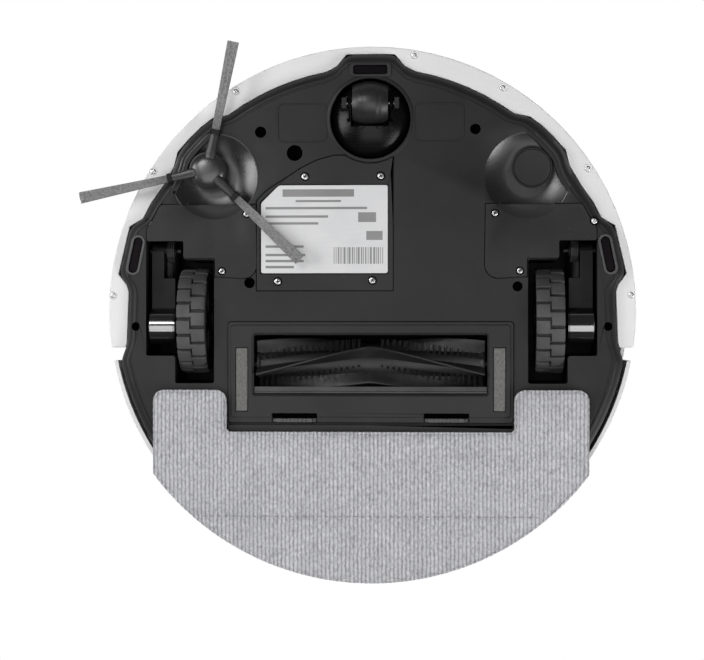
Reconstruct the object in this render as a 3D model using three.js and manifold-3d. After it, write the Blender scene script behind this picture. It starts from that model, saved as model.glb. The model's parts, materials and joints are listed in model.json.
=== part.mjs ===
import * as THREE from "three";
import { mergeVertices } from "three/addons/utils/BufferGeometryUtils.js";
import Module from "manifold-3d";

// Robot vacuum, millimetres. The front faces -Y, +Z is up, and z = 0 is the flat underside of the
// chassis plate on the body's axis. The robot's own left is +X.

const wasm = await Module();
wasm.setup();

// ---- Driving dimensions -------------------------------------------------------------------------

const GAP = 0.3; // clearance between pieces that touch
const SKIRT_R = 162.5; // outside radius of the white casing
const CASING_T = 2.5; // wall of the white casing
const REAR_PLATE_R = 158; // chassis plate behind the wheels
const FRONT_PLATE_R = 149; // chassis plate beside the front nose
const FLOOR_Z = -10;
const TOP_Z = 68;
const PLATE_T = 5; // chassis plate
const DRAFT = 0.97; // the plate's lower edge against its upper edge
const WALL_SCALE = 0.955; // chassis side wall against the plate's outline
const WALL_TOP = 40;
const BUMPER_END_Y = 23; // the bumper's two ends
const SKIRT_START_Y = 31; // where the rear skirt begins
const BUMPER_TOP = 58;
const FLANGE_Z = 5.6; // underside of the bumper's flange

const WHEEL_X = 110;
const WHEEL_Y = 6.5;
const WHEEL_R = 32.5;
const WHEEL_Z = FLOOR_Z + WHEEL_R;
const TYRE_W = 17.5;
const TREAD_BLOCKS = 20;
const PIVOT_Y = -37; // suspension hinge
const PIVOT_Z = 16;
const ARM_X = [121.5, 136.5];
const GEARBOX_R = 11;

const CASTER_Y = -117.5; // swivel axis
const CASTER_TRAIL = 9.8;
const CASTER_R = 13.5;
const CASTER_W = 22;
const CASTER_CUP_R = 24.6;

const SIDE_BRUSH = [-100, -86]; // hub centre
const BLANK_BOSS = [99, -87];
const HUB_R = 11.6;
const ARM_ANGLES = [-78, 167.5, 44];
const TUFT_START = 25;
const TUFT_END = 80;

const BRUSH_Y = 33;
const BRUSH_Z = 10;
const BRUSH_R = 16;
const BRUSH_HALF = 70;
const MOUTH = { x: 71.6, front: 15.3, back: 51.4 };
const COVER = { x: 87.5, front: 7.3, back: 69 };
const LATCH_X = 46.6;

const BOX_X = 62; // half width of the dust box
const BOX_FRONT = 80;
const BOX_FLOOR = 6.3;
const BOX_RIM = 44;
const BOX_TOP = 52;

const MOP_R = 164.4;
const MOP_CENTRE_Y = 0.2;
const MOP_NOTCH_X = 89;
const MOP_NOTCH_Y = 75.6;
const MOP_SIDE_X = 132;
const MOP_EAR_Y = 50;
const MOP_CORNER_R = 6;
const CLOTH_Z = [-9.2, -4.9];
const HOLDER_Z = [-4.6, -1];
const HOLDER_INSET = 2.5; // the cloth laps over the holder's edge by this much
const RAIL_Y = [93, 128]; // where the holder's T rails stand
const RAIL_X = 83;
const COVER_HOLE = [-74.4, -16.8]; // an access hole at the corner of the right-hand wheel cover
const SCREW_HOLES = [ // x, y and radius in the plate
  [-67.6, -109.5, 3.4], [64.3, -110.8, 3.2], [-46.6, -96.6, 4.8],
  [145, 10, 2.8], [-145, 10, 2.8], [...COVER_HOLE, 3.2], [90, -14.5, 3],
];

const FAN = [-89, 84];

const CHARCOAL = 0x2f3032;
const BLACK = 0x161617;
const WHITE = 0xe9eaeb;
const RUBBER = 0x4a4b4c;
const STEEL = 0xb8babc;

// ---- Solid helpers ------------------------------------------------------------------------------

/** Turns a closed three.js geometry into a solid that can be cut and joined. */
function solid(geometry) {
  geometry.deleteAttribute("normal");
  geometry.deleteAttribute("uv");
  const merged = mergeVertices(geometry, 1e-4);
  const index = merged.index.array;
  const triVerts = [];
  for (let i = 0; i < index.length; i += 3) {
    const [a, b, c] = [index[i], index[i + 1], index[i + 2]];
    if (a !== b && b !== c && a !== c) triVerts.push(a, b, c);
  }
  const vertProperties = new Float32Array(merged.attributes.position.array);
  return new wasm.Manifold(
    new wasm.Mesh({ numProp: 3, vertProperties, triVerts: new Uint32Array(triVerts) })
  );
}

function sorted(a, b) {
  return a < b ? [a, b] : [b, a];
}

/** A box between two opposite corners, given as ranges along X, Y and Z. */
function box(xs, ys, zs) {
  const [x0, x1] = sorted(...xs);
  const [y0, y1] = sorted(...ys);
  const [z0, z1] = sorted(...zs);
  const geometry = new THREE.BoxGeometry(x1 - x0, y1 - y0, z1 - z0);
  geometry.translate((x0 + x1) / 2, (y0 + y1) / 2, (z0 + z1) / 2);
  return solid(geometry);
}

/** A shape drawn in the XY plane, raised between two heights. */
function prism(shape, bottom, top, curveSegments = 8) {
  const options = { depth: top - bottom, bevelEnabled: false, curveSegments };
  const geometry = new THREE.ExtrudeGeometry(shape, options);
  geometry.translate(0, 0, bottom);
  return solid(geometry);
}

/** An upright cylinder or cone frustum about (x, y). */
function disc([x, y], radius, bottom, top, segments = 32, topRadius = radius) {
  const geometry = new THREE.CylinderGeometry(topRadius, radius, top - bottom, segments);
  geometry.rotateX(Math.PI / 2);
  geometry.translate(x, y, (bottom + top) / 2);
  return solid(geometry);
}

/** A cylinder lying along X between two x values, about the line (y, z). */
function rodX(xs, [y, z], radius, segments = 24) {
  const [x0, x1] = sorted(...xs);
  const geometry = new THREE.CylinderGeometry(radius, radius, x1 - x0, segments);
  geometry.rotateZ(Math.PI / 2);
  geometry.translate((x0 + x1) / 2, y, z);
  return solid(geometry);
}

/** A cylinder lying along Y. */
function rodY(ys, [x, z], radius, segments = 24) {
  const [y0, y1] = sorted(...ys);
  const geometry = new THREE.CylinderGeometry(radius, radius, y1 - y0, segments);
  geometry.translate(x, (y0 + y1) / 2, z);
  return solid(geometry);
}

/** A body of revolution about the Z axis from [radius, height] points. */
function turned(points, segments = 80) {
  const profile = points.map(([r, z]) => new THREE.Vector2(r, z));
  const geometry = new THREE.LatheGeometry(profile, segments);
  geometry.rotateX(Math.PI / 2);
  return solid(geometry);
}

function polygon(points) {
  return new THREE.Shape(points.map(([x, y]) => new THREE.Vector2(x, y)));
}

/** Points along an arc about (0, centreY), from one angle to another in degrees. */
function arc(radius, from, to, steps, centreY = 0) {
  const points = [];
  for (let i = 0; i <= steps; i += 1) {
    const angle = THREE.MathUtils.degToRad(from + ((to - from) * i) / steps);
    points.push([radius * Math.cos(angle), centreY + radius * Math.sin(angle)]);
  }
  return points;
}

/** A half outline for x >= 0 with its mirror image, closed into one loop. */
function mirrored(half) {
  const other = half.filter(([x]) => x > 1e-6).map(([x, y]) => [-x, y]);
  return [...half, ...other.reverse()];
}

function roundedBox(xs, ys, zs, radius) {
  const [x0, x1] = sorted(...xs);
  const [y0, y1] = sorted(...ys);
  const shape = new THREE.Shape();
  shape.moveTo(x0 + radius, y0);
  shape.lineTo(x1 - radius, y0);
  shape.absarc(x1 - radius, y0 + radius, radius, -Math.PI / 2, 0, false);
  shape.lineTo(x1, y1 - radius);
  shape.absarc(x1 - radius, y1 - radius, radius, 0, Math.PI / 2, false);
  shape.lineTo(x0 + radius, y1);
  shape.absarc(x0 + radius, y1 - radius, radius, Math.PI / 2, Math.PI, false);
  shape.lineTo(x0, y0 + radius);
  shape.absarc(x0 + radius, y0 + radius, radius, Math.PI, 1.5 * Math.PI, false);
  return prism(shape, Math.min(...zs), Math.max(...zs), 3);
}

const root = new THREE.Group();

/** Adds one finished piece to the model as a named mesh. */
function piece(name, body, colour, roughness = 0.5, metalness = 0) {
  const { vertProperties, triVerts, numProp } = body.getMesh();
  const positions = new Float32Array((vertProperties.length / numProp) * 3);
  for (let i = 0; i < positions.length; i += 1) {
    positions[i] = vertProperties[Math.floor(i / 3) * numProp + (i % 3)];
  }
  const geometry = new THREE.BufferGeometry();
  geometry.setAttribute("position", new THREE.BufferAttribute(positions, 3));
  geometry.setIndex(new THREE.BufferAttribute(new Uint32Array(triVerts), 1));
  geometry.computeVertexNormals();
  const material = new THREE.MeshStandardMaterial({ color: colour, roughness, metalness });
  const mesh = new THREE.Mesh(geometry, material);
  mesh.name = name;
  root.add(mesh);
}

const SIDES = [
  ["left", 1],
  ["right", -1],
];

function both(side, xs) {
  return xs.map((x) => x * side);
}

// ---- Chassis ------------------------------------------------------------------------------------

/** The chassis plate's upper outline: nose, front arc, side-brush lobe, sensor pod, rear arc. */
function plateOutline(scale = 1) {
  const nose = [[14.7, -157.2], [20.8, -149.8]];
  const front = arc(FRONT_PLATE_R, -79.5, -53.8, 6);
  const lobe = [[97.6, -118.4], [105, -112.8], [111.7, -106.2], [119.2, -97.8], [121.5, -88.4]];
  const shoulder = [[128.6, -76.3], [136, -65.9], [140.8, -56.5], [149, -51.9]];
  const pod = [[156, -22.3], [151, -16], [149.6, -11.6], [150.8, 20.6]];
  const rear = arc(REAR_PLATE_R, 11.3, 90, 14);
  const half = [...nose, ...front, ...lobe, ...shoulder, ...pod, ...rear];
  half[half.length - 1][0] = 0;
  return polygon(mirrored(half.map(([x, y]) => [x * scale, y * scale])));
}

/** The plate itself, its edge drafted inward towards the floor. */
function draftedPlate() {
  const options = { depth: PLATE_T, bevelEnabled: false };
  const geometry = new THREE.ExtrudeGeometry(plateOutline(), options);
  const position = geometry.attributes.position;
  for (let i = 0; i < position.count; i += 1) {
    const scale = position.getZ(i) < PLATE_T / 2 ? DRAFT : 1;
    position.setXY(i, position.getX(i) * scale, position.getY(i) * scale);
  }
  return solid(geometry);
}

function sideWall() {
  const outer = prism(plateOutline(WALL_SCALE), PLATE_T - 1, WALL_TOP);
  const inner = prism(plateOutline(WALL_SCALE - 0.015), 0, WALL_TOP + 1);
  const boxDoor = box([-BOX_X - 4, BOX_X + 4], [BOX_FRONT, 170], [PLATE_T, WALL_TOP + 1]);
  return outer.subtract(inner).subtract(boxDoor);
}

/** The wheel well's hollow: a bay for the tyre and one outboard for the gearbox arm. */
function wellHollow(side, wall) {
  const top = 57 + wall;
  const bottom = wall > 0 ? PLATE_T - 1 : -1;
  const tyre = box(
    both(side, [96.5 - wall, 120.5 + wall]), [-31 - wall, 45 + wall], [bottom, top]
  );
  const arm = box(
    both(side, [115.4 - wall, 138.5 + wall]), [-46 - wall, 28 + wall], [bottom, top - 10]
  );
  return tyre.add(arm);
}

/** The cover panel in front of a wheel, as an outline grown by a margin. */
function wheelPanel(side, grow) {
  const g = grow;
  const points = [
    [70 - g, -65 - g], [129.5 + g, -65 - g], [135 + g, -54.5], [138.2 + g, -50],
    [138.2 + g, -42.5 + g], [115.4 + g, -42.5 + g], [115.4 + g, -31.8 + g], [95.8 + g, -31.8 + g],
    [95.8 + g, -19.5 + g], [78, -19.5 + g], [73 - g * 0.7, -22 + g * 0.7], [70 - g, -27.5],
  ];
  return polygon(points.map(([x, y]) => [x * side, y]));
}

/** The battery cover: a rectangle whose front right corner is an arc. */
function batteryPanel(grow) {
  const g = grow;
  return polygon([
    [-22 - g, -95 - g], [13.8 + g, -95 - g], [13.8 + g, -12 + g], [-70 - g, -12 + g],
    [-70 - g, -67 - g], [-61 - g * 0.7, -75 - g * 0.7], [-43 - g * 0.5, -87 - g],
  ]);
}

function sideSensor(side, length, width, bottom, top) {
  const shape = new THREE.Shape();
  const half = (length - width) / 2;
  shape.absarc(0, half, width / 2, 0, Math.PI, false);
  shape.absarc(0, -half, width / 2, Math.PI, 2 * Math.PI, false);
  const geometry = new THREE.ExtrudeGeometry(shape, {
    depth: top - bottom, bevelEnabled: false, curveSegments: 6,
  });
  geometry.rotateZ(THREE.MathUtils.degToRad(-11.6 * side));
  geometry.translate(145 * side, -34, bottom);
  return solid(geometry);
}

function casterCup() {
  const centre = [0, CASTER_Y];
  const outside = disc(centre, CASTER_CUP_R + 2, PLATE_T - 1, 26, 48);
  const inside = disc(centre, CASTER_CUP_R, 0, 24, 48);
  return outside.subtract(inside).subtract(disc(centre, 3.4, 20, 30, 20));
}

function cutBowls(body) {
  let cut = body;
  for (const side of [1, -1]) {
    cut = cut.subtract(disc([96 * side, -82], 26.5, -0.05, 3.6, 36, 17));
  }
  return cut;
}

/** Rail grooves for the mop holder: a narrow slot with a wider channel above it. */
function railGroove(side) {
  const slot = box(both(side, [RAIL_X - 2, RAIL_X + 2]), [92, 170], [-1, 1.7]);
  const channel = box(both(side, [RAIL_X - 4, RAIL_X + 4]), [92, 170], [1.6, 3.8]);
  return slot.add(channel);
}

function screwAndVentHoles(body) {
  let cut = body;
  for (const [x, y, r] of SCREW_HOLES) {
    cut = cut.subtract(disc([x, y], r, -1, 4, 20));
  }
  return cut;
}

function chassisBase() {
  let body = draftedPlate().add(sideWall()).add(casterCup());
  for (const side of [1, -1]) {
    body = body.add(wellHollow(side, 1.5));
    body = body.add(roundedBox(both(side, [27, 57]), [-126, -104], [-0.6, 1], 4));
    body = body.add(sideSensor(side, 28, 9, -0.8, 2));
  }
  body = body.add(box([-13, 13], [-151.6, -143], [-1, 2]));
  body = cutBowls(body);
  for (const side of [1, -1]) {
    body = body.subtract(wellHollow(side, 0));
    body = body.subtract(prism(wheelPanel(side, GAP), -1, 1.5));
    body = body.subtract(sideSensor(side, 22, 5.5, -2, PLATE_T + 1));
    body = body.subtract(railGroove(side));
  }
  body = body.add(disc(BLANK_BOSS, 12.2, -0.6, 4.5, 40));
  body = body.subtract(disc([0, CASTER_Y], CASTER_CUP_R, -1, 24, 48));
  body = body.subtract(disc(SIDE_BRUSH, 5, -1, PLATE_T + 1, 24));
  body = body.subtract(prism(batteryPanel(GAP), -1, 1.5));
  const bay = box([-62, 8], [-88, -18], [-1, PLATE_T + 1]);
  body = body.subtract(bay.intersect(prism(batteryPanel(-3), -1, PLATE_T + 1)));
  body = body.subtract(box([-10.5, 10.5], [-150.4, -144.7], [-2, PLATE_T + 1]));
  const frameX = COVER.x + GAP;
  body = body.subtract(box([-frameX, frameX], [COVER.front - GAP, COVER.back + GAP], [-1, 1.5]));
  body = body.subtract(box([-80.5, 80.5], [10.5, 62], [-1, PLATE_T + 1]));
  body = body.add(box([-88, 88], [70.2, 75], [-2.2, 1]));
  body = screwAndVentHoles(body);
  piece("chassis_base", body, CHARCOAL, 0.42);
}

// ---- Outer casing -------------------------------------------------------------------------------

function casingRing(top) {
  const inner = SKIRT_R - CASING_T;
  return turned([[inner, FLANGE_Z], [SKIRT_R, FLANGE_Z], [SKIRT_R, top], [inner, top],
    [inner, FLANGE_Z]]);
}

function topShell() {
  const shoulder = arc(12, 0, 90, 4).map(([x, y]) => [SKIRT_R - 12 + x, TOP_Z - 12 + y]);
  const under = arc(9.5, 90, 0, 2).map(([x, y]) => [SKIRT_R - 12 + x, TOP_Z - 12 + y]);
  let body = turned([
    [0, TOP_Z - CASING_T], ...under, [SKIRT_R - CASING_T, 6.5], [SKIRT_R, 6.5],
    ...shoulder, [0, TOP_Z],
  ]);
  body = body.subtract(box([-170, 170], [-170, SKIRT_START_Y], [0, BUMPER_TOP + 1.2]));
  body = body.subtract(box([-BOX_X - 0.6, BOX_X + 0.6], [100, 170], [0, BOX_TOP + 0.6]));
  body = body.subtract(disc([0, -20], 60.3, TOP_Z - 0.9, TOP_Z + 1, 48));
  for (const y of [-46, -20]) {
    body = body.subtract(disc([0, y], 10.5, TOP_Z - 4, TOP_Z + 1, 32));
  }
  const jack = rodY([140, 170], [0, 20], 4.2, 20).rotate([0, 0, 60]);
  piece("top_shell", body.subtract(jack), WHITE, 0.3);
}

function deckPanel() {
  let body = disc([0, -20], 60, TOP_Z - 0.6, TOP_Z + 0.4, 48);
  for (const y of [-46, -20]) {
    body = body.subtract(disc([0, y], 9.5, TOP_Z - 2, TOP_Z + 1, 32));
  }
  piece("deck_panel", body, BLACK, 0.15);
}

function topButtons() {
  const places = [["power_button", -46], ["home_button", -20]];
  for (const [name, y] of places) {
    piece(name, disc([0, y], 9.1, TOP_Z - 2.6, TOP_Z + 1.3, 32), STEEL, 0.3, 0.6);
  }
}

/** The bumper: a C-shaped wall with a bottom flange that follows the chassis plate. */
function bumper() {
  const plate = prism(plateOutline(1.0035), 0, 20);
  const flange = disc([0, 0], SKIRT_R - 1, FLANGE_Z, FLANGE_Z + CASING_T, 96).subtract(plate);
  let body = casingRing(BUMPER_TOP).add(flange);
  body = body.intersect(box([-170, 170], [-170, BUMPER_END_Y], [0, 70]));
  body = body.subtract(box([-56, 56], [-170, -100], [27, 45]));
  for (const side of [1, -1]) {
    body = body.add(box(both(side, [55, 65]), [-147.5, -141], [10, 20]).add(
      box(both(side, [55, 65]), [-152, -146], [10, 20]).intersect(
        disc([0, 0], SKIRT_R - 1, 0, 60, 96)
      )
    ));
  }
  piece("bumper", body, WHITE, 0.35);
}

function irWindow() {
  const ring = turned([[160.2, 27.3], [162.4, 27.3], [162.4, 44.7], [160.2, 44.7],
    [160.2, 27.3]]);
  piece("ir_window", ring.intersect(box([-55.7, 55.7], [-170, -100], [0, 60])), BLACK, 0.1);
}

/** A helical spring about the Y axis, its wire section swept along the helix. */
function coil(radius, wire, turns, length) {
  const points = [];
  const steps = turns * 9;
  for (let i = 0; i <= steps; i += 1) {
    const angle = (i / 9) * 2 * Math.PI;
    const along = (i / steps) * length;
    points.push(new THREE.Vector3(radius * Math.cos(angle), along, radius * Math.sin(angle)));
  }
  const section = polygon(arc(wire, 0, 288, 4));
  return new THREE.ExtrudeGeometry(section, {
    steps, extrudePath: new THREE.CatmullRomCurve3(points), bevelEnabled: false,
  });
}

function bumperSprings() {
  for (const [name, side] of SIDES) {
    const spring = coil(3.4, 0.5, 4, 10.5);
    spring.translate(37 * side, -149.8, 26);
    piece(`bumper_spring_${name}`, solid(spring), STEEL, 0.3, 1);
    const switchBody = box(both(side, [53, 67]), [-136, -132.4], [10, 19]);
    const seat = box(both(side, [53, 67]), [-133, -129.9], [10, 19]);
    const outside = disc([0, 0], (FRONT_PLATE_R - 0.4) * WALL_SCALE + 1.2, 0, 60, 96);
    piece(`bumper_switch_${name}`, switchBody.add(seat.subtract(outside)), BLACK, 0.5);
  }
}

function dcSocket() {
  const barrel = rodY([151.4, 159.6], [0, 20], 6, 20);
  const mouth = rodY([152, 161], [0, 20], 3, 16);
  piece("dc_socket", barrel.subtract(mouth).rotate([0, 0, 60]), BLACK, 0.4);
}

// ---- Caster -------------------------------------------------------------------------------------

function caster() {
  const wheelY = CASTER_Y - CASTER_TRAIL;
  const wheelZ = FLOOR_Z + CASTER_R;
  const dome = arc(1, -90, 0, 5).map(([x, y]) => [12 + 12 * x, 2 + 5 * y]);
  let swivel = turned([[0, -3], ...dome, [24, 21], [0, 21]], 40).translate([0, CASTER_Y, 0]);
  swivel = swivel.add(disc([0, CASTER_Y], 3, 20, 28, 20));
  swivel = swivel.subtract(box([-11.8, 11.8], [-145, wheelY + CASTER_R + 0.8], [-10, 17.8]));
  swivel = swivel.subtract(rodX([-17, 17], [wheelY, wheelZ], 1.7, 16));
  piece("caster_swivel", swivel, BLACK, 0.12);

  const half = CASTER_W / 2;
  const crown = [[1.7, -half], [11.2, -half], [12.9, -half + 2.5], [CASTER_R, 0],
    [12.9, half - 2.5], [11.2, half], [1.7, half], [1.7, -half]];
  const roller = turned(crown, 36).rotate([0, 90, 0]).translate([0, wheelY, wheelZ]);
  piece("caster_wheel", roller, RUBBER, 0.45);
  piece("caster_axle", rodX([-16.5, 16.5], [wheelY, wheelZ], 1.3, 16), STEEL, 0.25, 1);
}

// ---- Drive wheels -------------------------------------------------------------------------------

/** One row of tread: a ring whose rim is divided into blocks by narrow grooves. */
function treadRow(turn) {
  const points = [];
  const pitch = (2 * Math.PI) / TREAD_BLOCKS;
  const groove = 1.7 / WHEEL_R;
  const polar = (radius, angle) => [radius * Math.cos(angle), radius * Math.sin(angle)];
  for (let i = 0; i < TREAD_BLOCKS; i += 1) {
    const start = turn + i * pitch;
    const end = start + pitch - groove;
    const corners = [
      polar(WHEEL_R - 2.2, start), polar(WHEEL_R, start),
      polar(WHEEL_R, end), polar(WHEEL_R - 2.2, end),
    ];
    points.push(...corners);
  }
  const shape = polygon(points);
  const bore = new THREE.Path();
  bore.absarc(0, 0, 23.4, 0, 2 * Math.PI, true);
  shape.holes.push(bore);
  return shape;
}

function tyre(side) {
  const half = TYRE_W / 2;
  const rim = 0.6;
  const inner = prism(treadRow(0), -half, -rim, 12);
  const outer = prism(treadRow(Math.PI / TREAD_BLOCKS), rim, half, 12);
  const web = disc([0, 0], WHEEL_R - 1.4, -rim - 0.2, rim + 0.2, 40);
  const ring = web.subtract(disc([0, 0], 23.4, -5, 5, 24));
  const place = [WHEEL_X * side, WHEEL_Y, WHEEL_Z];
  return inner.add(outer).add(ring).rotate([0, 90, 0]).translate(place);
}

function wheelHub(side) {
  const axle = [WHEEL_Y, WHEEL_Z];
  let hub = rodX(both(side, [101.8, 118.2]), axle, 23.1, 40);
  hub = hub.subtract(rodX(both(side, [101, 106]), axle, 19, 40));
  hub = hub.add(rodX(both(side, [103, 107]), axle, 6, 24));
  hub = hub.add(rodX(both(side, [117, 130]), axle, 3, 20));
  for (let i = 0; i < 6; i += 1) {
    const spoke = box([101.9, 106.5], [5.5, 20], [-1.2, 1.2]).rotate([60 * i, 0, 0]);
    const x = side > 0 ? 0 : -208.4;
    hub = hub.add(spoke.translate([x, WHEEL_Y, WHEEL_Z]));
  }
  return hub;
}

/** The swinging gearbox: pivot boss, side plate and a gear case round the wheel's shaft. */
function wheelArm(side) {
  const [inboard, outboard] = ARM_X;
  const pivot = [PIVOT_Y, PIVOT_Z];
  let arm = rodX(both(side, ARM_X), pivot, 5, 24);
  arm = arm.add(box(both(side, [128.5, outboard]), [PIVOT_Y, -6], [9, 22]));
  arm = arm.add(box(both(side, [inboard, outboard]), [-20, 16], [9, 24.6]));
  arm = arm.add(rodX(both(side, [inboard, outboard]), [10, 9.5], GEARBOX_R, 40));
  arm = arm.add(rodX(both(side, [inboard, outboard]), [WHEEL_Y, WHEEL_Z], 13, 40));
  arm = arm.subtract(rodX(both(side, [inboard - 1, 130.5]), [WHEEL_Y, WHEEL_Z], 3.4, 20));
  return arm.subtract(rodX(both(side, [inboard - 1, outboard + 1]), pivot, 2.2, 16));
}

function suspensionSpring(side) {
  const spring = coil(7, 0.6, 4, 4.6);
  spring.rotateZ(-Math.PI / 2);
  spring.translate(side > 0 ? 122.6 : -127.2, PIVOT_Y, PIVOT_Z);
  return solid(spring);
}

function driveUnits() {
  for (const [name, side] of SIDES) {
    piece(`drive_tyre_${name}`, tyre(side), RUBBER, 0.85);
    piece(`wheel_hub_${name}`, wheelHub(side), CHARCOAL, 0.4);
    piece(`wheel_arm_${name}`, wheelArm(side), BLACK, 0.12);
    const motor = rodY([-34, -7.5], [129 * side, 33], 8, 28);
    piece(`wheel_motor_${name}`, motor.add(rodY([-7.6, -6.8], [129 * side, 33], 3, 16)),
      STEEL, 0.35, 0.9);
    const pin = rodX(both(side, [118.8, 138.2]), [PIVOT_Y, PIVOT_Z], 1.9, 16);
    piece(`suspension_pin_${name}`, pin, STEEL, 0.3, 1);
    piece(`suspension_spring_${name}`, suspensionSpring(side), STEEL, 0.3, 1);
    const cover = prism(wheelPanel(side, 0), -0.7, 1.2);
    piece(`wheel_cover_${name}`, cover.subtract(disc(COVER_HOLE, 3.5, -2, 3)), CHARCOAL, 0.42);
  }
}

// ---- Side brush ---------------------------------------------------------------------------------

/** The three bendable arms' hub: a dome, a stem into the chassis and three clamps. */
function sideBrushHub() {
  const [x, y] = SIDE_BRUSH;
  const rim = arc(1, -90, 0, 4).map(([c, s]) => [7 + (HUB_R - 7) * c, -4 + 3.4 * s]);
  let hub = turned([[0, -7.4], ...rim, [HUB_R, -1.4], [0, -1.4]], 32).translate([x, y, 0]);
  hub = hub.add(disc([x, y], 4.6, -1.6, 9, 24));
  for (const angle of ARM_ANGLES) {
    const clamp = roundedBox([8, TUFT_START - GAP], [-3.2, 3.2], [-6.6, -2.6], 1.4);
    hub = hub.add(clamp.rotate([0, 0, angle]).translate([x, y, 0]));
  }
  return hub;
}

/** A flat bundle of bristles that widens outwards and droops to the floor. */
function tuft(angle) {
  const outline = polygon([
    [TUFT_START, -2.4], [TUFT_END, -3.6], [TUFT_END, 3.6], [TUFT_START, 2.4],
  ]);
  const geometry = new THREE.ExtrudeGeometry(outline, { depth: 1.8, bevelEnabled: false });
  const position = geometry.attributes.position;
  for (let i = 0; i < position.count; i += 1) {
    const out = (position.getX(i) - TUFT_START) / (TUFT_END - TUFT_START);
    position.setZ(i, position.getZ(i) - 5.4 - out * 4.3);
  }
  const [x, y] = SIDE_BRUSH;
  return solid(geometry).rotate([0, 0, angle]).translate([x, y, 0]);
}

function sideBrush() {
  piece("side_brush_hub", sideBrushHub(), CHARCOAL, 0.35);
  ARM_ANGLES.forEach((angle, i) => {
    piece(`side_brush_tuft_${i + 1}`, tuft(angle), 0x6a6a6a, 0.9);
  });
  const [x, y] = SIDE_BRUSH;
  const motor = disc([x, y], 10, 9.6, 18, 32).add(disc([x + 3, y], 8, 17, 38, 28));
  piece("side_brush_motor", motor, STEEL, 0.4, 0.8);
}

// ---- Main brush ---------------------------------------------------------------------------------

/** A blade along the roller whose two halves wind in opposite ways, meeting in a V. */
function rollerBlade(start) {
  const geometry = new THREE.BoxGeometry(2 * BRUSH_HALF, 2.2, BRUSH_R - 6, 28, 1, 1);
  geometry.translate(0, 0, 6 + (BRUSH_R - 6) / 2);
  const position = geometry.attributes.position;
  for (let i = 0; i < position.count; i += 1) {
    const [x, y, z] = [position.getX(i), position.getY(i), position.getZ(i)];
    const turn = start + THREE.MathUtils.degToRad(70) * (Math.abs(x) / BRUSH_HALF);
    position.setY(i, y * Math.cos(turn) - z * Math.sin(turn));
    position.setZ(i, y * Math.sin(turn) + z * Math.cos(turn));
  }
  return solid(geometry);
}

function mainBrush() {
  let roller = rodX([-BRUSH_HALF, BRUSH_HALF], [0, 0], 8, 24);
  roller = roller.add(rodX([-77, 81.5], [0, 0], 2.6, 16));
  for (let i = 0; i < 4; i += 1) {
    roller = roller.add(rollerBlade(Math.PI / 4 + (i * Math.PI) / 2));
  }
  piece("main_brush", roller.translate([0, BRUSH_Y, BRUSH_Z]), BLACK, 0.6);
  const block = box([-77.6, -72.6], [BRUSH_Y - 7, BRUSH_Y + 7], [2, 17]);
  piece("brush_bearing", block.subtract(rodX([-79, -71], [BRUSH_Y, BRUSH_Z], 3, 20)),
    0x8a3a2a, 0.5);
}

/** The suction tunnel over the roller, with a duct back to the dust box. */
function brushChamber() {
  const line = [BRUSH_Y, BRUSH_Z];
  let body = box([-80, 80], [11, 55], [1.8, 30]).add(box([-47, 47], [54, 79.6], [12, 30]));
  body = body.subtract(rodX([-78, 78], line, 18.2, 40));
  body = body.subtract(box([-78, 78], [BRUSH_Y - 18.2, BRUSH_Y + 18.2], [0, BRUSH_Z]));
  body = body.subtract(box([-45, 45], [BRUSH_Y, 80], [14, 28]));
  body = body.subtract(rodX([77, 81], line, 3.4, 20));
  piece("brush_chamber", body, CHARCOAL, 0.5);
}

/** The removable frame round the roller's mouth. */
function brushCover() {
  let frame = roundedBox([-COVER.x, COVER.x], [COVER.front, COVER.back], [-2.2, 1.2], 2);
  frame = frame.subtract(box([-MOUTH.x, MOUTH.x], [MOUTH.front, MOUTH.back], [-4, 3]));
  for (const side of [1, -1]) {
    const strip = both(side, [75.2, 82.8]);
    frame = frame.subtract(box(strip, [23, 62.1], [-4, -1.2]));
    const slot = [LATCH_X * side - 14, LATCH_X * side + 14];
    frame = frame.subtract(box(slot, [63.4, 70], [-4, 3]));
  }
  piece("brush_cover", frame, CHARCOAL, 0.45);
  const lip = box([-MOUTH.x + GAP, MOUTH.x - GAP], [46.9, MOUTH.back - GAP], [-2, -0.6]);
  piece("brush_lip", lip, RUBBER, 0.6);
}

function brushFittings() {
  for (const [name, side] of SIDES) {
    const felt = box(both(side, [75.5, 82.5]), [23.3, 61.8], [-3, -1.5]);
    piece(`felt_strip_${name}`, felt, 0x5e5c59, 1);
    const x = LATCH_X * side;
    const tab = box([x - 11.3, x + 11.3], [66.4, 68.9], [-2.6, 0.9]);
    const root = box([x - 13.2, x + 13.2], [66.4, 68.9], [-0.2, 0.9]);
    piece(`brush_latch_${name}`, tab.add(root), CHARCOAL, 0.4);
  }
  piece("brush_motor", rodX([50, 82], [68, 18], 10.5, 32), STEEL, 0.35, 0.8);
  const gearbox = box([82.4, 93], [22, 80], [6, 30]);
  piece("brush_gearbox", gearbox, BLACK, 0.5);
}

// ---- Power and control --------------------------------------------------------------------------

function power() {
  const casterRim = disc([0, CASTER_Y], CASTER_CUP_R + 1.5, -2, 2, 48);
  const panel = prism(batteryPanel(0), -0.7, 1.2).subtract(casterRim);
  piece("battery_cover", panel, CHARCOAL, 0.42);
  const pack = box([-60, 6], [-86, -20], [PLATE_T + GAP, 26]);
  piece("battery_pack", pack, 0x33508a, 0.5);
  let board = roundedBox([-68, 68], [-84, -6], [44, 45.6], 4);
  board = board.add(box([-30, 10], [-60, -30], [45.5, 48]));
  board = board.add(box([30, 60], [-24, -10], [45.5, 52]));
  piece("main_board", board, 0x1f5a38, 0.6);
}

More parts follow.
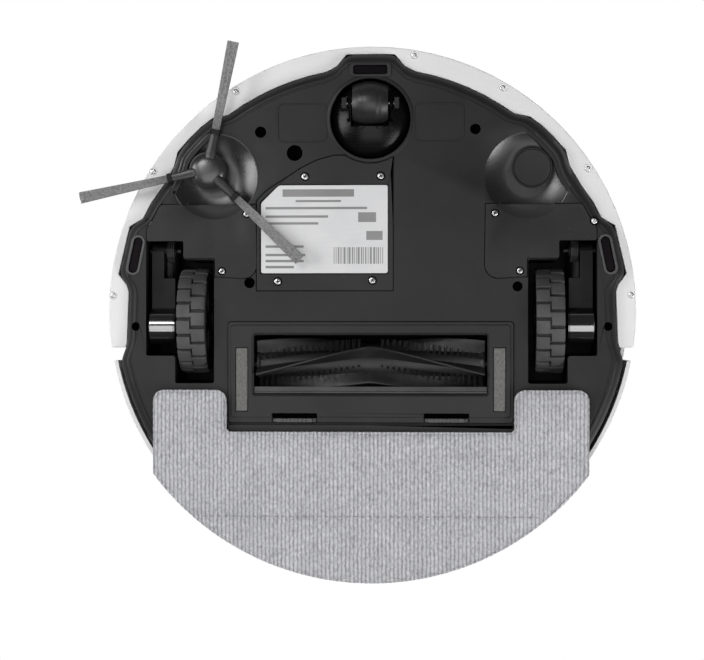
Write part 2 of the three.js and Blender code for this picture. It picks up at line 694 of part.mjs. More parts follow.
function sensorLenses() {
  const front = box([-10.2, 10.2], [-150.1, -145], [0.6, 3]);
  piece("cliff_lens_front", front, BLACK, 0.08);
  for (const [name, side] of SIDES) {
    piece(`cliff_lens_${name}`, sideSensor(side, 21.4, 4.9, 0.6, 3), BLACK, 0.08);
  }
}

// ---- Dust box and fan ---------------------------------------------------------------------------

/** The dust box's plan: straight sides and front, and a back that follows the casing. */
function boxPlan(inset) {
  const x = BOX_X - inset;
  const radius = SKIRT_R - inset;
  const end = THREE.MathUtils.radToDeg(Math.acos(x / radius));
  return polygon([[-x, BOX_FRONT + inset], [x, BOX_FRONT + inset], ...arc(radius, end, 180 - end, 10)]);
}

function dustBox() {
  let tray = prism(boxPlan(0), BOX_FLOOR, BOX_RIM);
  const back = prism(boxPlan(0), BOX_RIM - 1, BOX_TOP).intersect(
    box([-70, 70], [150, 170], [0, 60])
  );
  tray = tray.add(back).subtract(prism(boxPlan(2), BOX_FLOOR + 2, BOX_RIM));
  tray = tray.subtract(box([-43, 43], [BOX_FRONT - 1, BOX_FRONT + 3], [15, 27]));
  const button = box([-15.4, 15.4], [155, 170], [40.6, 50]);
  piece("dust_box", tray.subtract(button), 0x26272a, 0.3);

  let lid = prism(boxPlan(0), BOX_RIM + GAP, BOX_RIM + 2.2);
  lid = lid.subtract(box([-70, 70], [149.7, 170], [0, 60]));
  lid = lid.subtract(box([-40, 40], [92, 138], [0, 60]));
  piece("dust_box_lid", lid, 0x3a3b3d, 0.35);
  let filter = box([-39.7, 39.7], [92.3, 137.7], [42, 52]);
  for (let i = 0; i < 12; i += 1) {
    const x = -36.6 + i * 6.4;
    filter = filter.subtract(box([x, x + 2.8], [95, 135], [47, 53]));
  }
  piece("hepa_filter", filter, 0xdedcd4, 0.95);
  piece("dust_box_button", box([-15, 15], [156.6, 163.6], [41, 49.6]).intersect(
    disc([0, 0], SKIRT_R + 0.4, 0, 70, 120)), CHARCOAL, 0.35);
}

function fan() {
  let housing = disc(FAN, 23, 7, 42, 40).subtract(disc(FAN, 21.5, 9, 43, 40));
  housing = housing.subtract(box([-75, -60], [FAN[1] - 8, FAN[1] + 8], [24, 38]));
  piece("fan_housing", housing, CHARCOAL, 0.5);
  piece("fan_motor", disc(FAN, 13, 9.3, 22, 32).add(disc(FAN, 2, 21, 26, 16)), STEEL, 0.3, 1);
  let impeller = disc(FAN, 19.5, 23, 24.8, 40).add(disc(FAN, 5, 24, 36, 24));
  for (let i = 0; i < 8; i += 1) {
    const blade = box([4, 19], [-0.7, 0.7], [24, 34]).rotate([0, 0, 45 * i]);
    impeller = impeller.add(blade.translate([...FAN, 0]));
  }
  piece("fan_impeller", impeller.subtract(disc(FAN, 2.4, 22, 30, 20)), 0xd8d8d6, 0.4);
}

// ---- Mop ----------------------------------------------------------------------------------------

/** The mop's plan: a D with two ears that reach forward past the brush frame. */
function mopPlan(inset, earY) {
  const sideX = MOP_SIDE_X - inset;
  const notchX = MOP_NOTCH_X + inset;
  const radius = MOP_R - inset;
  const end = THREE.MathUtils.radToDeg(Math.acos(sideX / radius));
  const r = MOP_CORNER_R;
  const corner = (cx, cy, from, to) => arc(r, from, to, 4).map(([x, y]) => [cx + x, cy + y]);
  const half = [
    [0, MOP_NOTCH_Y + inset],
    [notchX - 2, MOP_NOTCH_Y + inset],
    [notchX, MOP_NOTCH_Y + inset - 2],
    ...corner(notchX + r, earY + r, 180, 270),
    ...corner(sideX - r, earY + r, 270, 360),
    ...arc(radius, end, 90, 14, MOP_CENTRE_Y),
  ];
  half[half.length - 1][0] = 0;
  return polygon(mirrored(half));
}

function mop() {
  let holder = prism(mopPlan(HOLDER_INSET, MOP_EAR_Y + HOLDER_INSET), ...HOLDER_Z);
  for (const side of [1, -1]) {
    const stem = box(both(side, [RAIL_X - 1.6, RAIL_X + 1.6]), RAIL_Y, [-1.2, 2.2]);
    const head = box(both(side, [RAIL_X - 3.6, RAIL_X + 3.6]), RAIL_Y, [2, 3.4]);
    holder = holder.add(stem).add(head);
  }
  piece("mop_holder", holder, CHARCOAL, 0.5);
  piece("mop_cloth", prism(mopPlan(0, MOP_EAR_Y), ...CLOTH_Z), 0xb6b6b8, 1);
}

chassisBase();
topShell();
deckPanel();
topButtons();
bumper();
irWindow();
bumperSprings();
dcSocket();
caster();
driveUnits();
sideBrush();
mainBrush();
brushChamber();
brushCover();
brushFittings();
power();
sensorLenses();
dustBox();
fan();
mop();

export default root;
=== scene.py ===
import json
import math
import random

import bmesh
import bpy
from mathutils import Matrix, Vector, noise


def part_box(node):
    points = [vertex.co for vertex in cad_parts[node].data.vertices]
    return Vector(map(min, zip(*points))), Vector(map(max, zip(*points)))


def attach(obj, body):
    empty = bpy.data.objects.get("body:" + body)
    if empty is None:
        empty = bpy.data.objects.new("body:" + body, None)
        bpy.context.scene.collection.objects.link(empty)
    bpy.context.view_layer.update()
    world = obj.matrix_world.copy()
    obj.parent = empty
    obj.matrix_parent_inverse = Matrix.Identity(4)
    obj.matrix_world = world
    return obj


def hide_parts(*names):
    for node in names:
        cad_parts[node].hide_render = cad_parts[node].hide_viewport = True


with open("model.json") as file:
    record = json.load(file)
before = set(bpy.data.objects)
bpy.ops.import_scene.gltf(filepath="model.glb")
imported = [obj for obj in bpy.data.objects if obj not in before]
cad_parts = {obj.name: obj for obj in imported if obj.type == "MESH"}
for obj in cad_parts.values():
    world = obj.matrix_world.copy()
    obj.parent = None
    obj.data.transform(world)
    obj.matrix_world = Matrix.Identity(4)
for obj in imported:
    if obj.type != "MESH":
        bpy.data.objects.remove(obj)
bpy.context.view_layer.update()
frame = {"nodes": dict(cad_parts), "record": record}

# A robot vacuum seen from underneath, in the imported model's frame: the front faces -Y, +Z is up,
# and z = 0 is the flat underside of the chassis. Shapes are drawn in millimetres, kept in metres.

MM = 0.001
BODIES = frame["record"]["behaviour"]["bodies"]
BODY_OF = {node: body for body, nodes in BODIES.items() for node in nodes}
SIDES = (("left", 1), ("right", -1))
SIDE_BRUSH = (-100.0, -86.0)
FLOOR_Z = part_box("drive_tyre_left")[0].z


# ---- Node materials ----

class Shader:
    """A small helper round one node material: adds nodes and joins them by name."""

    def __init__(self, name):
        self.material = bpy.data.materials.new(name)
        self.material.use_nodes = True
        self.tree = self.material.node_tree
        self.surface = self.tree.nodes["Principled BSDF"]
        self.place = self.add("ShaderNodeTexCoord").outputs["Object"]

    def add(self, kind, **settings):
        node = self.tree.nodes.new(kind)
        for key, value in settings.items():
            setattr(node, key, value)
        return node

    def join(self, output, entry):
        self.tree.links.new(output, entry)

    def stretch(self, scale, turn=(0, 0, 0)):
        node = self.add("ShaderNodeMapping")
        node.inputs["Scale"].default_value = scale
        node.inputs["Rotation"].default_value = turn
        self.join(self.place, node.inputs["Vector"])
        return node.outputs["Vector"]

    def noise(self, scale, detail=3.0, rough=0.55, where=None):
        node = self.add("ShaderNodeTexNoise")
        node.inputs["Scale"].default_value = scale
        node.inputs["Detail"].default_value = detail
        node.inputs["Roughness"].default_value = rough
        self.join(where or self.place, node.inputs["Vector"])
        return node.outputs["Fac"]

    def wave(self, scale, axis, distortion):
        node = self.add("ShaderNodeTexWave", bands_direction=axis)
        node.inputs["Scale"].default_value = scale
        node.inputs["Distortion"].default_value = distortion
        self.join(self.place, node.inputs["Vector"])
        return node.outputs["Fac"]

    def ramp(self, value, stops):
        node = self.add("ShaderNodeValToRGB")
        elements = node.color_ramp.elements
        while len(elements) < len(stops):
            elements.new(0.5)
        for element, (at, colour) in zip(elements, stops):
            element.position = at
            element.color = (*colour, 1) if hasattr(colour, "__len__") else (colour,) * 3 + (1,)
        self.join(value, node.inputs["Fac"])
        return node.outputs["Color"]

    def maths(self, operation, first, second):
        node = self.add("ShaderNodeMath", operation=operation)
        for entry, value in zip(node.inputs, (first, second)):
            if isinstance(value, (int, float)):
                entry.default_value = value
            else:
                self.join(value, entry)
        return node.outputs["Value"]

    def mix(self, amount, first, second, blend="MIX"):
        node = self.add("ShaderNodeMix", data_type="RGBA", blend_type=blend)
        for entry, value in zip((0, 6, 7), (amount, first, second)):
            if isinstance(value, (int, float)):
                node.inputs[entry].default_value = value
            elif hasattr(value, "__len__"):
                node.inputs[entry].default_value = (*value, 1)
            else:
                self.join(value, node.inputs[entry])
        return node.outputs[2]

    def bump(self, height, distance, strength):
        node = self.add("ShaderNodeBump")
        node.inputs["Distance"].default_value = distance
        node.inputs["Strength"].default_value = strength
        self.join(height, node.inputs["Height"])
        return node.outputs["Normal"]

    def set(self, **sockets):
        for key, value in sockets.items():
            entry = self.surface.inputs[key.replace("_", " ")]
            if isinstance(value, (int, float, tuple)):
                entry.default_value = value if not isinstance(value, tuple) else (*value, 1)
            else:
                self.join(value, entry)


def grey(level):
    """A linear colour for an sRGB level from 0 to 255."""
    share = level / 255
    linear = share / 12.92 if share <= 0.04045 else ((share + 0.055) / 1.055) ** 2.4
    return (linear, linear, linear)


def tinted(red, green, blue):
    return (grey(red)[0], grey(green)[0], grey(blue)[0])


def tone(levels):
    """A linear colour from one sRGB level or three."""
    return tinted(*levels) if isinstance(levels, tuple) else grey(levels)


def moulded(name, dark, light, rough, grain=0.00003, coat=0.0, cloud=14.0, spec=0.5):
    """Moulded plastic: cloudy colour, faint dust, and a fine spark-eroded grain."""
    shader = Shader(name)
    colour = shader.ramp(shader.noise(cloud, 4.0), [(0.35, tone(dark)), (0.68, tone(light))])
    dust = shader.ramp(shader.noise(900.0, 2.0, 0.7), [(0.66, 0.0), (0.8, 1.0)])
    dusty = shader.mix(shader.maths("MULTIPLY", dust, 0.12), colour, tinted(150, 150, 148))
    uneven = shader.ramp(shader.noise(60.0, 3.0), [(0.3, rough - 0.05), (0.7, rough + 0.06)])
    fine = shader.bump(shader.noise(2600.0, 2.0), grain, 0.6)
    shader.set(Base_Color=dusty, Roughness=uneven, Normal=fine)
    shader.set(Coat_Weight=coat, Coat_Roughness=0.12, IOR=1.5, Specular_IOR_Level=spec)
    return shader.material


def polished(name, dark, light, rough=0.08, ior=1.5):
    """Glossy black plastic with faint swirl marks."""
    shader = Shader(name)
    colour = shader.ramp(shader.noise(30.0), [(0.3, tone(dark)), (0.7, tone(light))])
    scratch = shader.noise(40.0, 2.0, where=shader.stretch((1.0, 40.0, 3.0), (0.2, 0.1, 0.6)))
    uneven = shader.ramp(scratch, [(0.4, rough), (0.75, rough + 0.1)])
    soft = shader.bump(shader.noise(45.0, 2.0), 0.0002, 0.25)
    shader.set(Base_Color=colour, Roughness=uneven, Normal=soft, IOR=ior)
    return shader.material


def steel(name, level=190, rough=0.28, brush=(1.0, 60.0, 60.0)):
    shader = Shader(name)
    lines = shader.noise(120.0, 3.0, where=shader.stretch(brush))
    colour = shader.ramp(lines, [(0.3, grey(level - 35)), (0.7, grey(level + 12))])
    uneven = shader.ramp(lines, [(0.3, rough + 0.12), (0.7, rough - 0.06)])
    shader.set(Base_Color=colour, Roughness=uneven, Metallic=1.0)
    shader.set(Normal=shader.bump(lines, 0.00003, 0.5))
    return shader.material


def rubber(name, dark, light, rough, grain=0.00006):
    shader = Shader(name)
    colour = shader.ramp(shader.noise(70.0, 4.0), [(0.3, tone(dark)), (0.7, tone(light))])
    dust = shader.ramp(shader.noise(1500.0, 3.0, 0.7), [(0.6, 0.0), (0.78, 1.0)])
    dusty = shader.mix(shader.maths("MULTIPLY", dust, 0.18), colour, tinted(150, 147, 142))
    uneven = shader.ramp(shader.noise(240.0), [(0.3, rough - 0.08), (0.7, rough + 0.08)])
    shader.set(Base_Color=dusty, Roughness=uneven)
    shader.set(Normal=shader.bump(shader.noise(1800.0, 2.0), grain, 0.7))
    return shader.material


def felt_material():
    shader = Shader("felt_pile")
    fibres = shader.noise(1400.0, 5.0, 0.75, shader.stretch((1.0, 0.35, 1.0)))
    colour = shader.ramp(fibres, [(0.3, tinted(64, 64, 63)), (0.7, tinted(120, 119, 117))])
    shader.set(Base_Color=colour, Roughness=1.0, Sheen_Weight=0.4, Sheen_Roughness=0.6)
    shader.set(Normal=shader.bump(fibres, 0.0004, 0.9))
    return shader.material


def bristle_material(name, root, tip, hub=None):
    shader = Shader(name)
    strands = shader.noise(800.0, 3.0, 0.6)
    colour = shader.ramp(strands, [(0.25, tone(root)), (0.75, tone(tip))])
    # Painted shade: given a hub, the strands are darkened near it to under half, fading out about
    # 42 mm away.
    if hub:
        away = shader.add("ShaderNodeVectorMath", operation="DISTANCE")
        shader.join(shader.place, away.inputs[0])
        away.inputs[1].default_value = (hub[0] * MM, hub[1] * MM, -5 * MM)
        reach = shader.ramp(shader.maths("MULTIPLY", away.outputs["Value"], 12.0),
                            [(0.28, grey(180)), (0.5, grey(255))])
        colour = shader.mix(1.0, colour, reach, "MULTIPLY")
    shader.set(Base_Color=colour, Roughness=0.5, Normal=shader.bump(strands, 0.0001, 0.5))
    return shader.material


def knit_material():
    """Light grey microfibre knit: rows of loops, stray pile and a soft mottle."""
    shader = Shader("mop_knit")
    rows = shader.wave(128.0, axis="X", distortion=1.1)
    loops_value = shader.noise(700.0, 4.0, 0.7, shader.stretch((1.0, 0.6, 1.0)))
    mottle = shader.noise(75.0, 5.0, 0.7)
    height = shader.maths("ADD", shader.maths("MULTIPLY", rows, 0.8), loops_value)
    colour = shader.ramp(loops_value, [(0.3, tinted(112, 112, 116)), (0.5, tinted(182, 182, 186)),
                                       (0.72, tinted(226, 226, 229))])
    shade = shader.ramp(mottle, [(0.3, tinted(166, 166, 170)), (0.7, tinted(204, 204, 208))])
    bands = shader.ramp(rows, [(0.1, grey(196)), (0.6, grey(255))])
    shader.set(Base_Color=shader.mix(0.8, shader.mix(0.4, colour, shade), bands, "MULTIPLY"),
               Roughness=0.95, Sheen_Weight=0.35, Sheen_Roughness=0.5)
    shader.set(Normal=shader.bump(height, 0.0006, 0.9))
    return shader.material


def label_material():
    """Satin silver film: faint mottle and long brushing."""
    shader = Shader("label_film")
    brushed = shader.noise(60.0, 4.0, where=shader.stretch((1.0, 30.0, 1.0)))
    mottle = shader.noise(35.0, 3.0)
    film = shader.mix(0.5, shader.ramp(brushed, [(0.3, grey(196)), (0.7, grey(208))]),
                      shader.ramp(mottle, [(0.3, tinted(194, 195, 199)), (0.7, grey(210))]))
    shader.set(Base_Color=film, Roughness=0.42, Normal=shader.bump(brushed, 0.00001, 0.5))
    return shader.material


MATERIALS = {
    "chassis": moulded("chassis_plastic", 30, 38, 0.42, spec=0.22),
    "cover": moulded("cover_plastic", 33, 41, 0.44, spec=0.22),
    "frame": moulded("frame_plastic", 38, 46, 0.48, spec=0.2),
    "bowl": moulded("bowl_plastic", 24, 30, 0.3, spec=0.7),
    # Near black, matte and without reflection: painted shade, set in holes, slots and the gaps
    # round screw heads.
    "painted_shade": moulded("painted_shade_black", 3, 5, 0.9, spec=0.0),
    "dark_steel": steel("blackened_steel", 70, 0.5),
    "black": moulded("black_plastic", 12, 18, 0.5, spec=0.2),
    "white": moulded("white_plastic", 214, 221, 0.34, 0.00001, 0.2, 6.0),
    "gloss": polished("gloss_black", 12, 18),
    "panel": polished("panel_black", 10, 15, 0.05),
    "lens": polished("lens_black", (11, 8, 11), (16, 11, 15), 0.25, 1.15),
    "steel": steel("plain_steel"),
    "tyre": rubber("tyre_rubber", 56, 74, 0.66),
    "roller": rubber("caster_rubber", 24, 34, 0.4, 0.00002),
    "blade": rubber("blade_rubber", 50, 62, 0.5),
    "roller_blade": rubber("roller_blade_rubber", 17, 26, 0.5),
    "felt": felt_material(),
    "bristle": bristle_material("side_bristles_hub_shaded", 90, 150, SIDE_BRUSH),
    "dark_bristle": bristle_material("roller_bristles", 16, 44),
    "knit": knit_material(),
    "film": moulded("battery_film", (36, 62, 118), (48, 76, 136), 0.35),
    "board": moulded("board_mask", (20, 70, 42), (28, 86, 52), 0.4),
    "paper": moulded("filter_paper", (214, 210, 198), (228, 225, 214), 0.9),
    "nylon": moulded("nylon", (206, 205, 200), (220, 219, 214), 0.45),
    "bronze": moulded("bearing_plastic", (96, 42, 30), (118, 54, 38), 0.45),
    "screw": steel("screw_zinc", 205, 0.3, (30.0, 30.0, 30.0)),
    "label": label_material(),
    "ink": moulded("printed_ink", 118, 136, 0.6),
    "dome": polished("caster_gloss", 8, 12, 0.24, 1.25),
    "case": polished("gear_case_gloss", 12, 20, 0.1, 3.0),
    "hub": moulded("hub_plastic", 34, 44, 0.26, spec=0.8),
    "sleeve": rubber("sleeve_rubber", 30, 42, 0.36, 0.00002),
    # Painted shade: a darker copy of the tyre rubber, for the carcass seen in the tread's grooves;
    # the springs use it too.
    "tyre_dark": rubber("tyre_groove_painted_shade", 26, 36, 0.7),
    "latch": moulded("latch_plastic", 56, 68, 0.45),
    "core": moulded("roller_core_plastic", 20, 28, 0.5),
    "thread": bristle_material("stitch_thread", 120, 150),
    "smoke": moulded("smoke_plastic", 24, 36, 0.25),
}

# ---- Mesh helpers ----

def linked(name, data):
    """A new object in the scene."""
    item = bpy.data.objects.new(name, data)
    bpy.context.collection.objects.link(item)
    return item


def applied(item, keep=False):
    """An object's mesh with its modifiers applied; the object goes unless it is kept."""
    bpy.context.view_layer.update()
    graph = bpy.context.evaluated_depsgraph_get()
    mesh = bpy.data.meshes.new_from_object(item.evaluated_get(graph))
    if not keep:
        bpy.data.objects.remove(item)
    return mesh


def add_piece(name, mesh, material, body, replaces):
    """Links a finished mesh as a piece that rides on a body."""
    piece = linked(name, mesh)
    mesh.materials.clear()
    mesh.materials.append(MATERIALS[material])
    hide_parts(*replaces)
    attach(piece, body)
    return piece


def made(name, build, smooth_angle=40.0):
    """A mesh from a function that fills a bmesh in millimetres, shaded smooth up to an angle."""
    work = bmesh.new()
    build(work)
    bmesh.ops.scale(work, vec=(MM, MM, MM), verts=work.verts)
    bmesh.ops.recalc_face_normals(work, faces=work.faces)
    return shaded(work, name, smooth_angle)


def shaded(work, name, smooth_angle):
    """Turns a bmesh into a mesh that is smooth up to an angle."""
    mesh = bpy.data.meshes.new(name)
    work.to_mesh(mesh)
    work.free()
    mesh.shade_smooth()
    mesh.set_sharp_from_angle(angle=math.radians(smooth_angle))
    return mesh


def bevelled(mesh, width, segments=2, angle=32.0, weighted=False):
    """Rounds a mesh's sharp edges by a real bevel whose flats stay flat."""
    holder = linked("bevel_holder", mesh)
    bevel = holder.modifiers.new("Edges", "BEVEL")
    bevel.width = width
    bevel.segments = segments
    bevel.limit_method = "ANGLE"
    bevel.angle_limit = math.radians(angle)
    bevel.harden_normals = True
    bevel.use_clamp_overlap = False
    if weighted:
        normals = holder.modifiers.new("Normals", "WEIGHTED_NORMAL")
        normals.weight = 100
        normals.keep_sharp = True
    return applied(holder)


def refined(node, material, width=0.35, segments=2):
    """The CAD node's shape with rounded edges and smooth curved faces."""
    work = bmesh.new()
    work.from_mesh(frame["nodes"][node].data)
    bmesh.ops.remove_doubles(work, verts=work.verts, dist=0.02 * MM)
    bmesh.ops.dissolve_limit(work, angle_limit=math.radians(1.0), verts=work.verts,
                             edges=work.edges)
    mesh = bpy.data.meshes.new(node + "_fine")
    work.to_mesh(mesh)
    work.free()
    mesh.shade_smooth()
    mesh = bevelled(mesh, width * MM, segments, weighted=True)
    add_piece(node + "_fine", mesh, material, BODY_OF[node], (node,))


def ring_points(radius, count, centre=(0, 0)):
    turns = (2 * math.pi * i / count for i in range(count))
    return [(centre[0] + radius * math.cos(t), centre[1] + radius * math.sin(t)) for t in turns]


def skin(work, rings, caps=True):
    """Joins rings of equally many vertices by quads and, with caps, closes both ends."""
    if caps:
        work.faces.new(rings[0])
        work.faces.new(rings[-1][::-1])
    for low, high in zip(rings, rings[1:]):
        for i in range(len(low)):
            j = (i + 1) % len(low)
            work.faces.new((low[i], high[i], high[j], low[j]))


def lathe(work, profile, centre, axis="Z", count=64):
    """Sweeps (radius, height) points round an axis through centre; ends on the axis close up."""
    turn = {"Z": Matrix.Identity(3), "X": Matrix.Rotation(math.pi / 2, 3, "Y"),
            "Y": Matrix.Rotation(-math.pi / 2, 3, "X")}[axis]
    rings = []
    for radius, height in profile:
        if radius < 1e-7:
            rings.append([work.verts.new(turn @ Vector((0, 0, height)) + Vector(centre))])
            continue
        rings.append([work.verts.new(turn @ Vector((x, y, height)) + Vector(centre))
                      for x, y in ring_points(radius, count)])
    for low, high in zip(rings, rings[1:]):
        for i in range(count):
            j = (i + 1) % count
            corners = (low[i % len(low)], low[j % len(low)], high[j % len(high)],
                       high[i % len(high)])
            unique = list(dict.fromkeys(corners))
            if len(unique) > 2:
                work.faces.new(unique)


def prism(work, outline, low, high):
    """An upright prism on a closed outline of (x, y) points."""
    skin(work, [[work.verts.new((x, y, z)) for x, y in outline] for z in (low, high)])


def block(work, low, high):
    x0, y0, z0 = low
    x1, y1, z1 = high
    prism(work, [(x0, y0), (x1, y0), (x1, y1), (x0, y1)], z0, z1)


def arc(radius, start, end, steps, centre=(0, 0)):
    turns = (math.radians(start + (end - start) * i / steps) for i in range(steps + 1))
    return [(centre[0] + radius * math.cos(t), centre[1] + radius * math.sin(t)) for t in turns]


def rounded_rectangle(x0, y0, x1, y1, radius, steps=6):
    corners = [(x1 - radius, y0 + radius, -90), (x1 - radius, y1 - radius, 0),
               (x0 + radius, y1 - radius, 90), (x0 + radius, y0 + radius, 180)]
    outline = []
    for x, y, start in corners:
        outline += arc(radius, start, start + 90, steps, (x, y))
    return outline


# ---- Stage ----

CAMERA_DISTANCE = 1.2
CAMERA_LEAN = math.radians(3.0)  # the camera stands a little towards +X
LENS_MM = 100.0
FLOOR_HALF = 4.0
AIM = Vector((-11.3, 12.2, 0.0)) * MM  # what the middle of the picture looks at


def make_camera():
    data = bpy.data.cameras.new("Camera")
    data.lens = LENS_MM
    camera = linked("Camera", data)
    away = Vector((math.sin(CAMERA_LEAN), 0, -math.cos(CAMERA_LEAN)))
    back = away.normalized()
    right = Vector((0, -1, 0)).cross(back).normalized()
    up = back.cross(right)
    camera.matrix_world = Matrix.Translation(AIM + away * CAMERA_DISTANCE) @ Matrix(
        (right, up, back)).transposed().to_4x4()
    bpy.context.scene.camera = camera


def area_light(name, place, size, power):
    """A rectangular lamp that faces the object."""
    data = bpy.data.lights.new(name, "AREA")
    data.shape = "RECTANGLE"
    data.size, data.size_y = size
    data.energy = power
    light = linked(name, data)
    light.location = place
    light.rotation_euler = (-Vector(place)).to_track_quat("-Z", "Y").to_euler()


def make_floor():
    """A pale floor that is only there from above, so the underside can be seen through it."""
    shader = Shader("studio_floor")
    cloud = shader.noise(3.0, 2.0)
    shader.set(Base_Color=shader.ramp(cloud, [(0.3, grey(232)), (0.7, grey(238))]), Roughness=0.6)
    clear = shader.add("ShaderNodeBsdfTransparent")
    facing = shader.add("ShaderNodeNewGeometry").outputs["Backfacing"]
    either = shader.add("ShaderNodeMixShader")
    shader.join(facing, either.inputs[0])
    shader.join(shader.surface.outputs[0], either.inputs[1])
    shader.join(clear.outputs[0], either.inputs[2])
    shader.join(either.outputs[0], shader.tree.nodes["Material Output"].inputs["Surface"])
    mesh = bpy.data.meshes.new("studio_floor")
    corners = ((-1, -1), (1, -1), (1, 1), (-1, 1))
    mesh.from_pydata([(x * FLOOR_HALF, y * FLOOR_HALF, FLOOR_Z - 0.0005) for x, y in corners], [],
                     [(0, 1, 2, 3)])
    mesh.materials.append(shader.material)
    floor = linked("studio_floor", mesh)
    floor.visible_diffuse = False
    floor.visible_glossy = False
    floor.visible_shadow = False


def make_world():
    """White to the camera; as a light, bright above the object and dim below it."""
    world = bpy.data.worlds.new("studio")
    world.use_nodes = True
    bpy.context.scene.world = world
    tree = world.node_tree
    seen = tree.nodes["Background"]
    seen.inputs["Color"].default_value = (1, 1, 1, 1)
    seen.inputs["Strength"].default_value = 1.0
    light = tree.nodes.new("ShaderNodeBackground")
    parts = tree.nodes.new("ShaderNodeSeparateXYZ")
    fade = tree.nodes.new("ShaderNodeMapRange")
    for entry, value in (("From Min", -0.25), ("From Max", 0.35), ("To Min", 0.06),
                         ("To Max", 0.95)):
        fade.inputs[entry].default_value = value
    place = tree.nodes.new("ShaderNodeTexCoord").outputs["Generated"]
    tree.links.new(place, parts.inputs[0])
    tree.links.new(parts.outputs["Z"], fade.inputs["Value"])
    tree.links.new(fade.outputs["Result"], light.inputs["Strength"])
    path = tree.nodes.new("ShaderNodeLightPath")
    either = tree.nodes.new("ShaderNodeMixShader")
    tree.links.new(path.outputs["Is Camera Ray"], either.inputs[0])
    tree.links.new(light.outputs[0], either.inputs[1])
    tree.links.new(seen.outputs[0], either.inputs[2])
    tree.links.new(either.outputs[0], tree.nodes["World Output"].inputs["Surface"])


def make_lights():
    area_light("key_below", (0.0, 0.3, -1.15), (1.0, 0.8), 5.4)
    area_light("front_below", (-0.46, -0.44, -1.06), (0.36, 0.36), 4.0)
    area_light("left_below", (-0.9, -0.12, -0.62), (0.6, 0.3), 5.2)
    area_light("right_below", (0.82, 0.52, -0.62), (0.6, 0.3), 7.0)
    area_light("key_above", (-0.7, -0.8, 1.1), (0.8, 0.8), 10.0)
    area_light("rim_above", (0.9, 0.6, 0.7), (0.5, 0.8), 5.0)


scene = bpy.context.scene
scene.view_settings.view_transform = "Standard"
scene.view_settings.look = "None"
make_camera()
make_world()
make_lights()
make_floor()


# ---- Outlines shared by several parts, in millimetres ----

def filleted(points, radius, steps=4):
    """Rounds each corner of a closed outline by a short curve."""
    rounded = []
    count = len(points)
    for i, corner in enumerate(points):
        here = Vector(corner)
        before, after = Vector(points[i - 1]), Vector(points[(i + 1) % count])
        reach_in = min(radius, (before - here).length * 0.45)
        reach_out = min(radius, (after - here).length * 0.45)
        start = here + (before - here).normalized() * reach_in
        end = here + (after - here).normalized() * reach_out
        for k in range(steps + 1):
            t = k / steps
            point = start * (1 - t) ** 2 + here * (2 * t * (1 - t)) + end * t ** 2
            rounded.append((point.x, point.y))
    return rounded


def mirrored(half):
    """A half outline for x >= 0 joined to its mirror image."""
    return half + [(-x, y) for x, y in reversed(half) if x > 1e-6]


def plate_outline(scale=1.0, fillet=5.0):
    """The chassis plate: nose, front arc, side-brush lobe, sensor pod and rear arc."""
    nose = [(14.7, -157.2), (20.8, -149.8)]
    front = arc(149.0, -79.5, -53.8, 8)
    lobe = [(97.6, -118.4), (105, -112.8), (111.7, -106.2), (119.2, -97.8), (121.5, -88.4)]
    shoulder = [(128.6, -76.3), (136, -65.9), (140.8, -56.5), (149, -51.9)]
    pod = [(156, -22.3), (151, -16), (149.6, -11.6), (150.8, 20.6)]
    rear = arc(158.0, 11.3, 89.0, 34)
    outline = filleted(mirrored(nose + front + lobe + shoulder + pod + rear), fillet)
    return [(x * scale, y * scale) for x, y in outline]


def well_outline(side, grow=0.0):
    g = grow
    points = [(96.5 - g, -31 - g), (115.4 - g, -31 - g), (115.4 - g, -45.5 - g),
              (138.5 + g, -45.5 - g), (138.5 + g, 28 + g), (120.5 + g, 28 + g),
              (120.5 + g, 45 + g), (96.5 - g, 45 + g)]
    return filleted([(x * side, y) for x, y in points], 1.6)


def panel_outline(side, grow=0.0):
    g = grow
    points = [(70 - g, -65 - g), (129.5 + g, -65 - g), (135 + g, -54.5), (138.2 + g, -50),
              (138.2 + g, -42.5 + g), (115.4 + g, -42.5 + g), (115.4 + g, -31.8 + g),
              (95.8 + g, -31.8 + g), (95.8 + g, -19.5 + g), (70 - g, -19.5 + g)]
    outline = filleted(points[:-1], 1.2) + arc(8.5, 90, 180, 8, (78.5 - g, -28 + g))
    return [(x * side, y) for x, y in outline]


def battery_outline(grow=0.0):
    g = grow
    corner = [(-70 - g, -67 - g), (-66 - g, -71.5 - g), (-61 - g, -75.5 - g), (-52 - g, -81 - g),
              (-43 - g, -87 - g), (-33 - g, -92 - g), (-22 - g, -95 - g)]
    return corner + [(13.8 + g, -95 - g), (13.8 + g, -12 + g), (-70 - g, -12 + g)]


def sensor_outline(side, length, width):
    half = (length - width) / 2
    outline = arc(width / 2, 0, 180, 10, (0, half)) + arc(width / 2, 180, 360, 10, (0, -half))
    turn = Matrix.Rotation(math.radians(-11.6 * side), 2)
    placed = [turn @ Vector(point) for point in outline]
    return [(x + 145.0 * side, y - 34.0) for x, y in placed]


# ---- Solids for cutting and joining, in millimetres ----

def solid(build):
    """A working object made by one function, for cutting and joining."""
    return linked("working_solid", made("working_solid", build))


def solid_prism(outline, low, high):
    return solid(lambda work: prism(work, outline, low, high))


def solid_disc(centre, radius, low, high, count=32):
    return solid_prism(ring_points(radius, count, centre), low, high)


def solid_pad(corners, radius, low, high):
    """A flat block with rounded corners, from (x0, y0, x1, y1)."""
    return solid_prism(rounded_rectangle(*corners, radius), low, high)


def solid_block(low, high):
    return solid(lambda work: block(work, low, high))


def solid_lathe(profile, centre, axis="Z", count=96):
    return solid(lambda work: lathe(work, profile, centre, axis, count))


def solid_rod(ends, y, z, radius, count=64):
    """A cylinder along X between two x values."""
    low, high = sorted(ends)
    profile = [(0, low), (radius, low), (radius, high), (0, high)]
    return solid_lathe(profile, (0, y, z), "X", count)


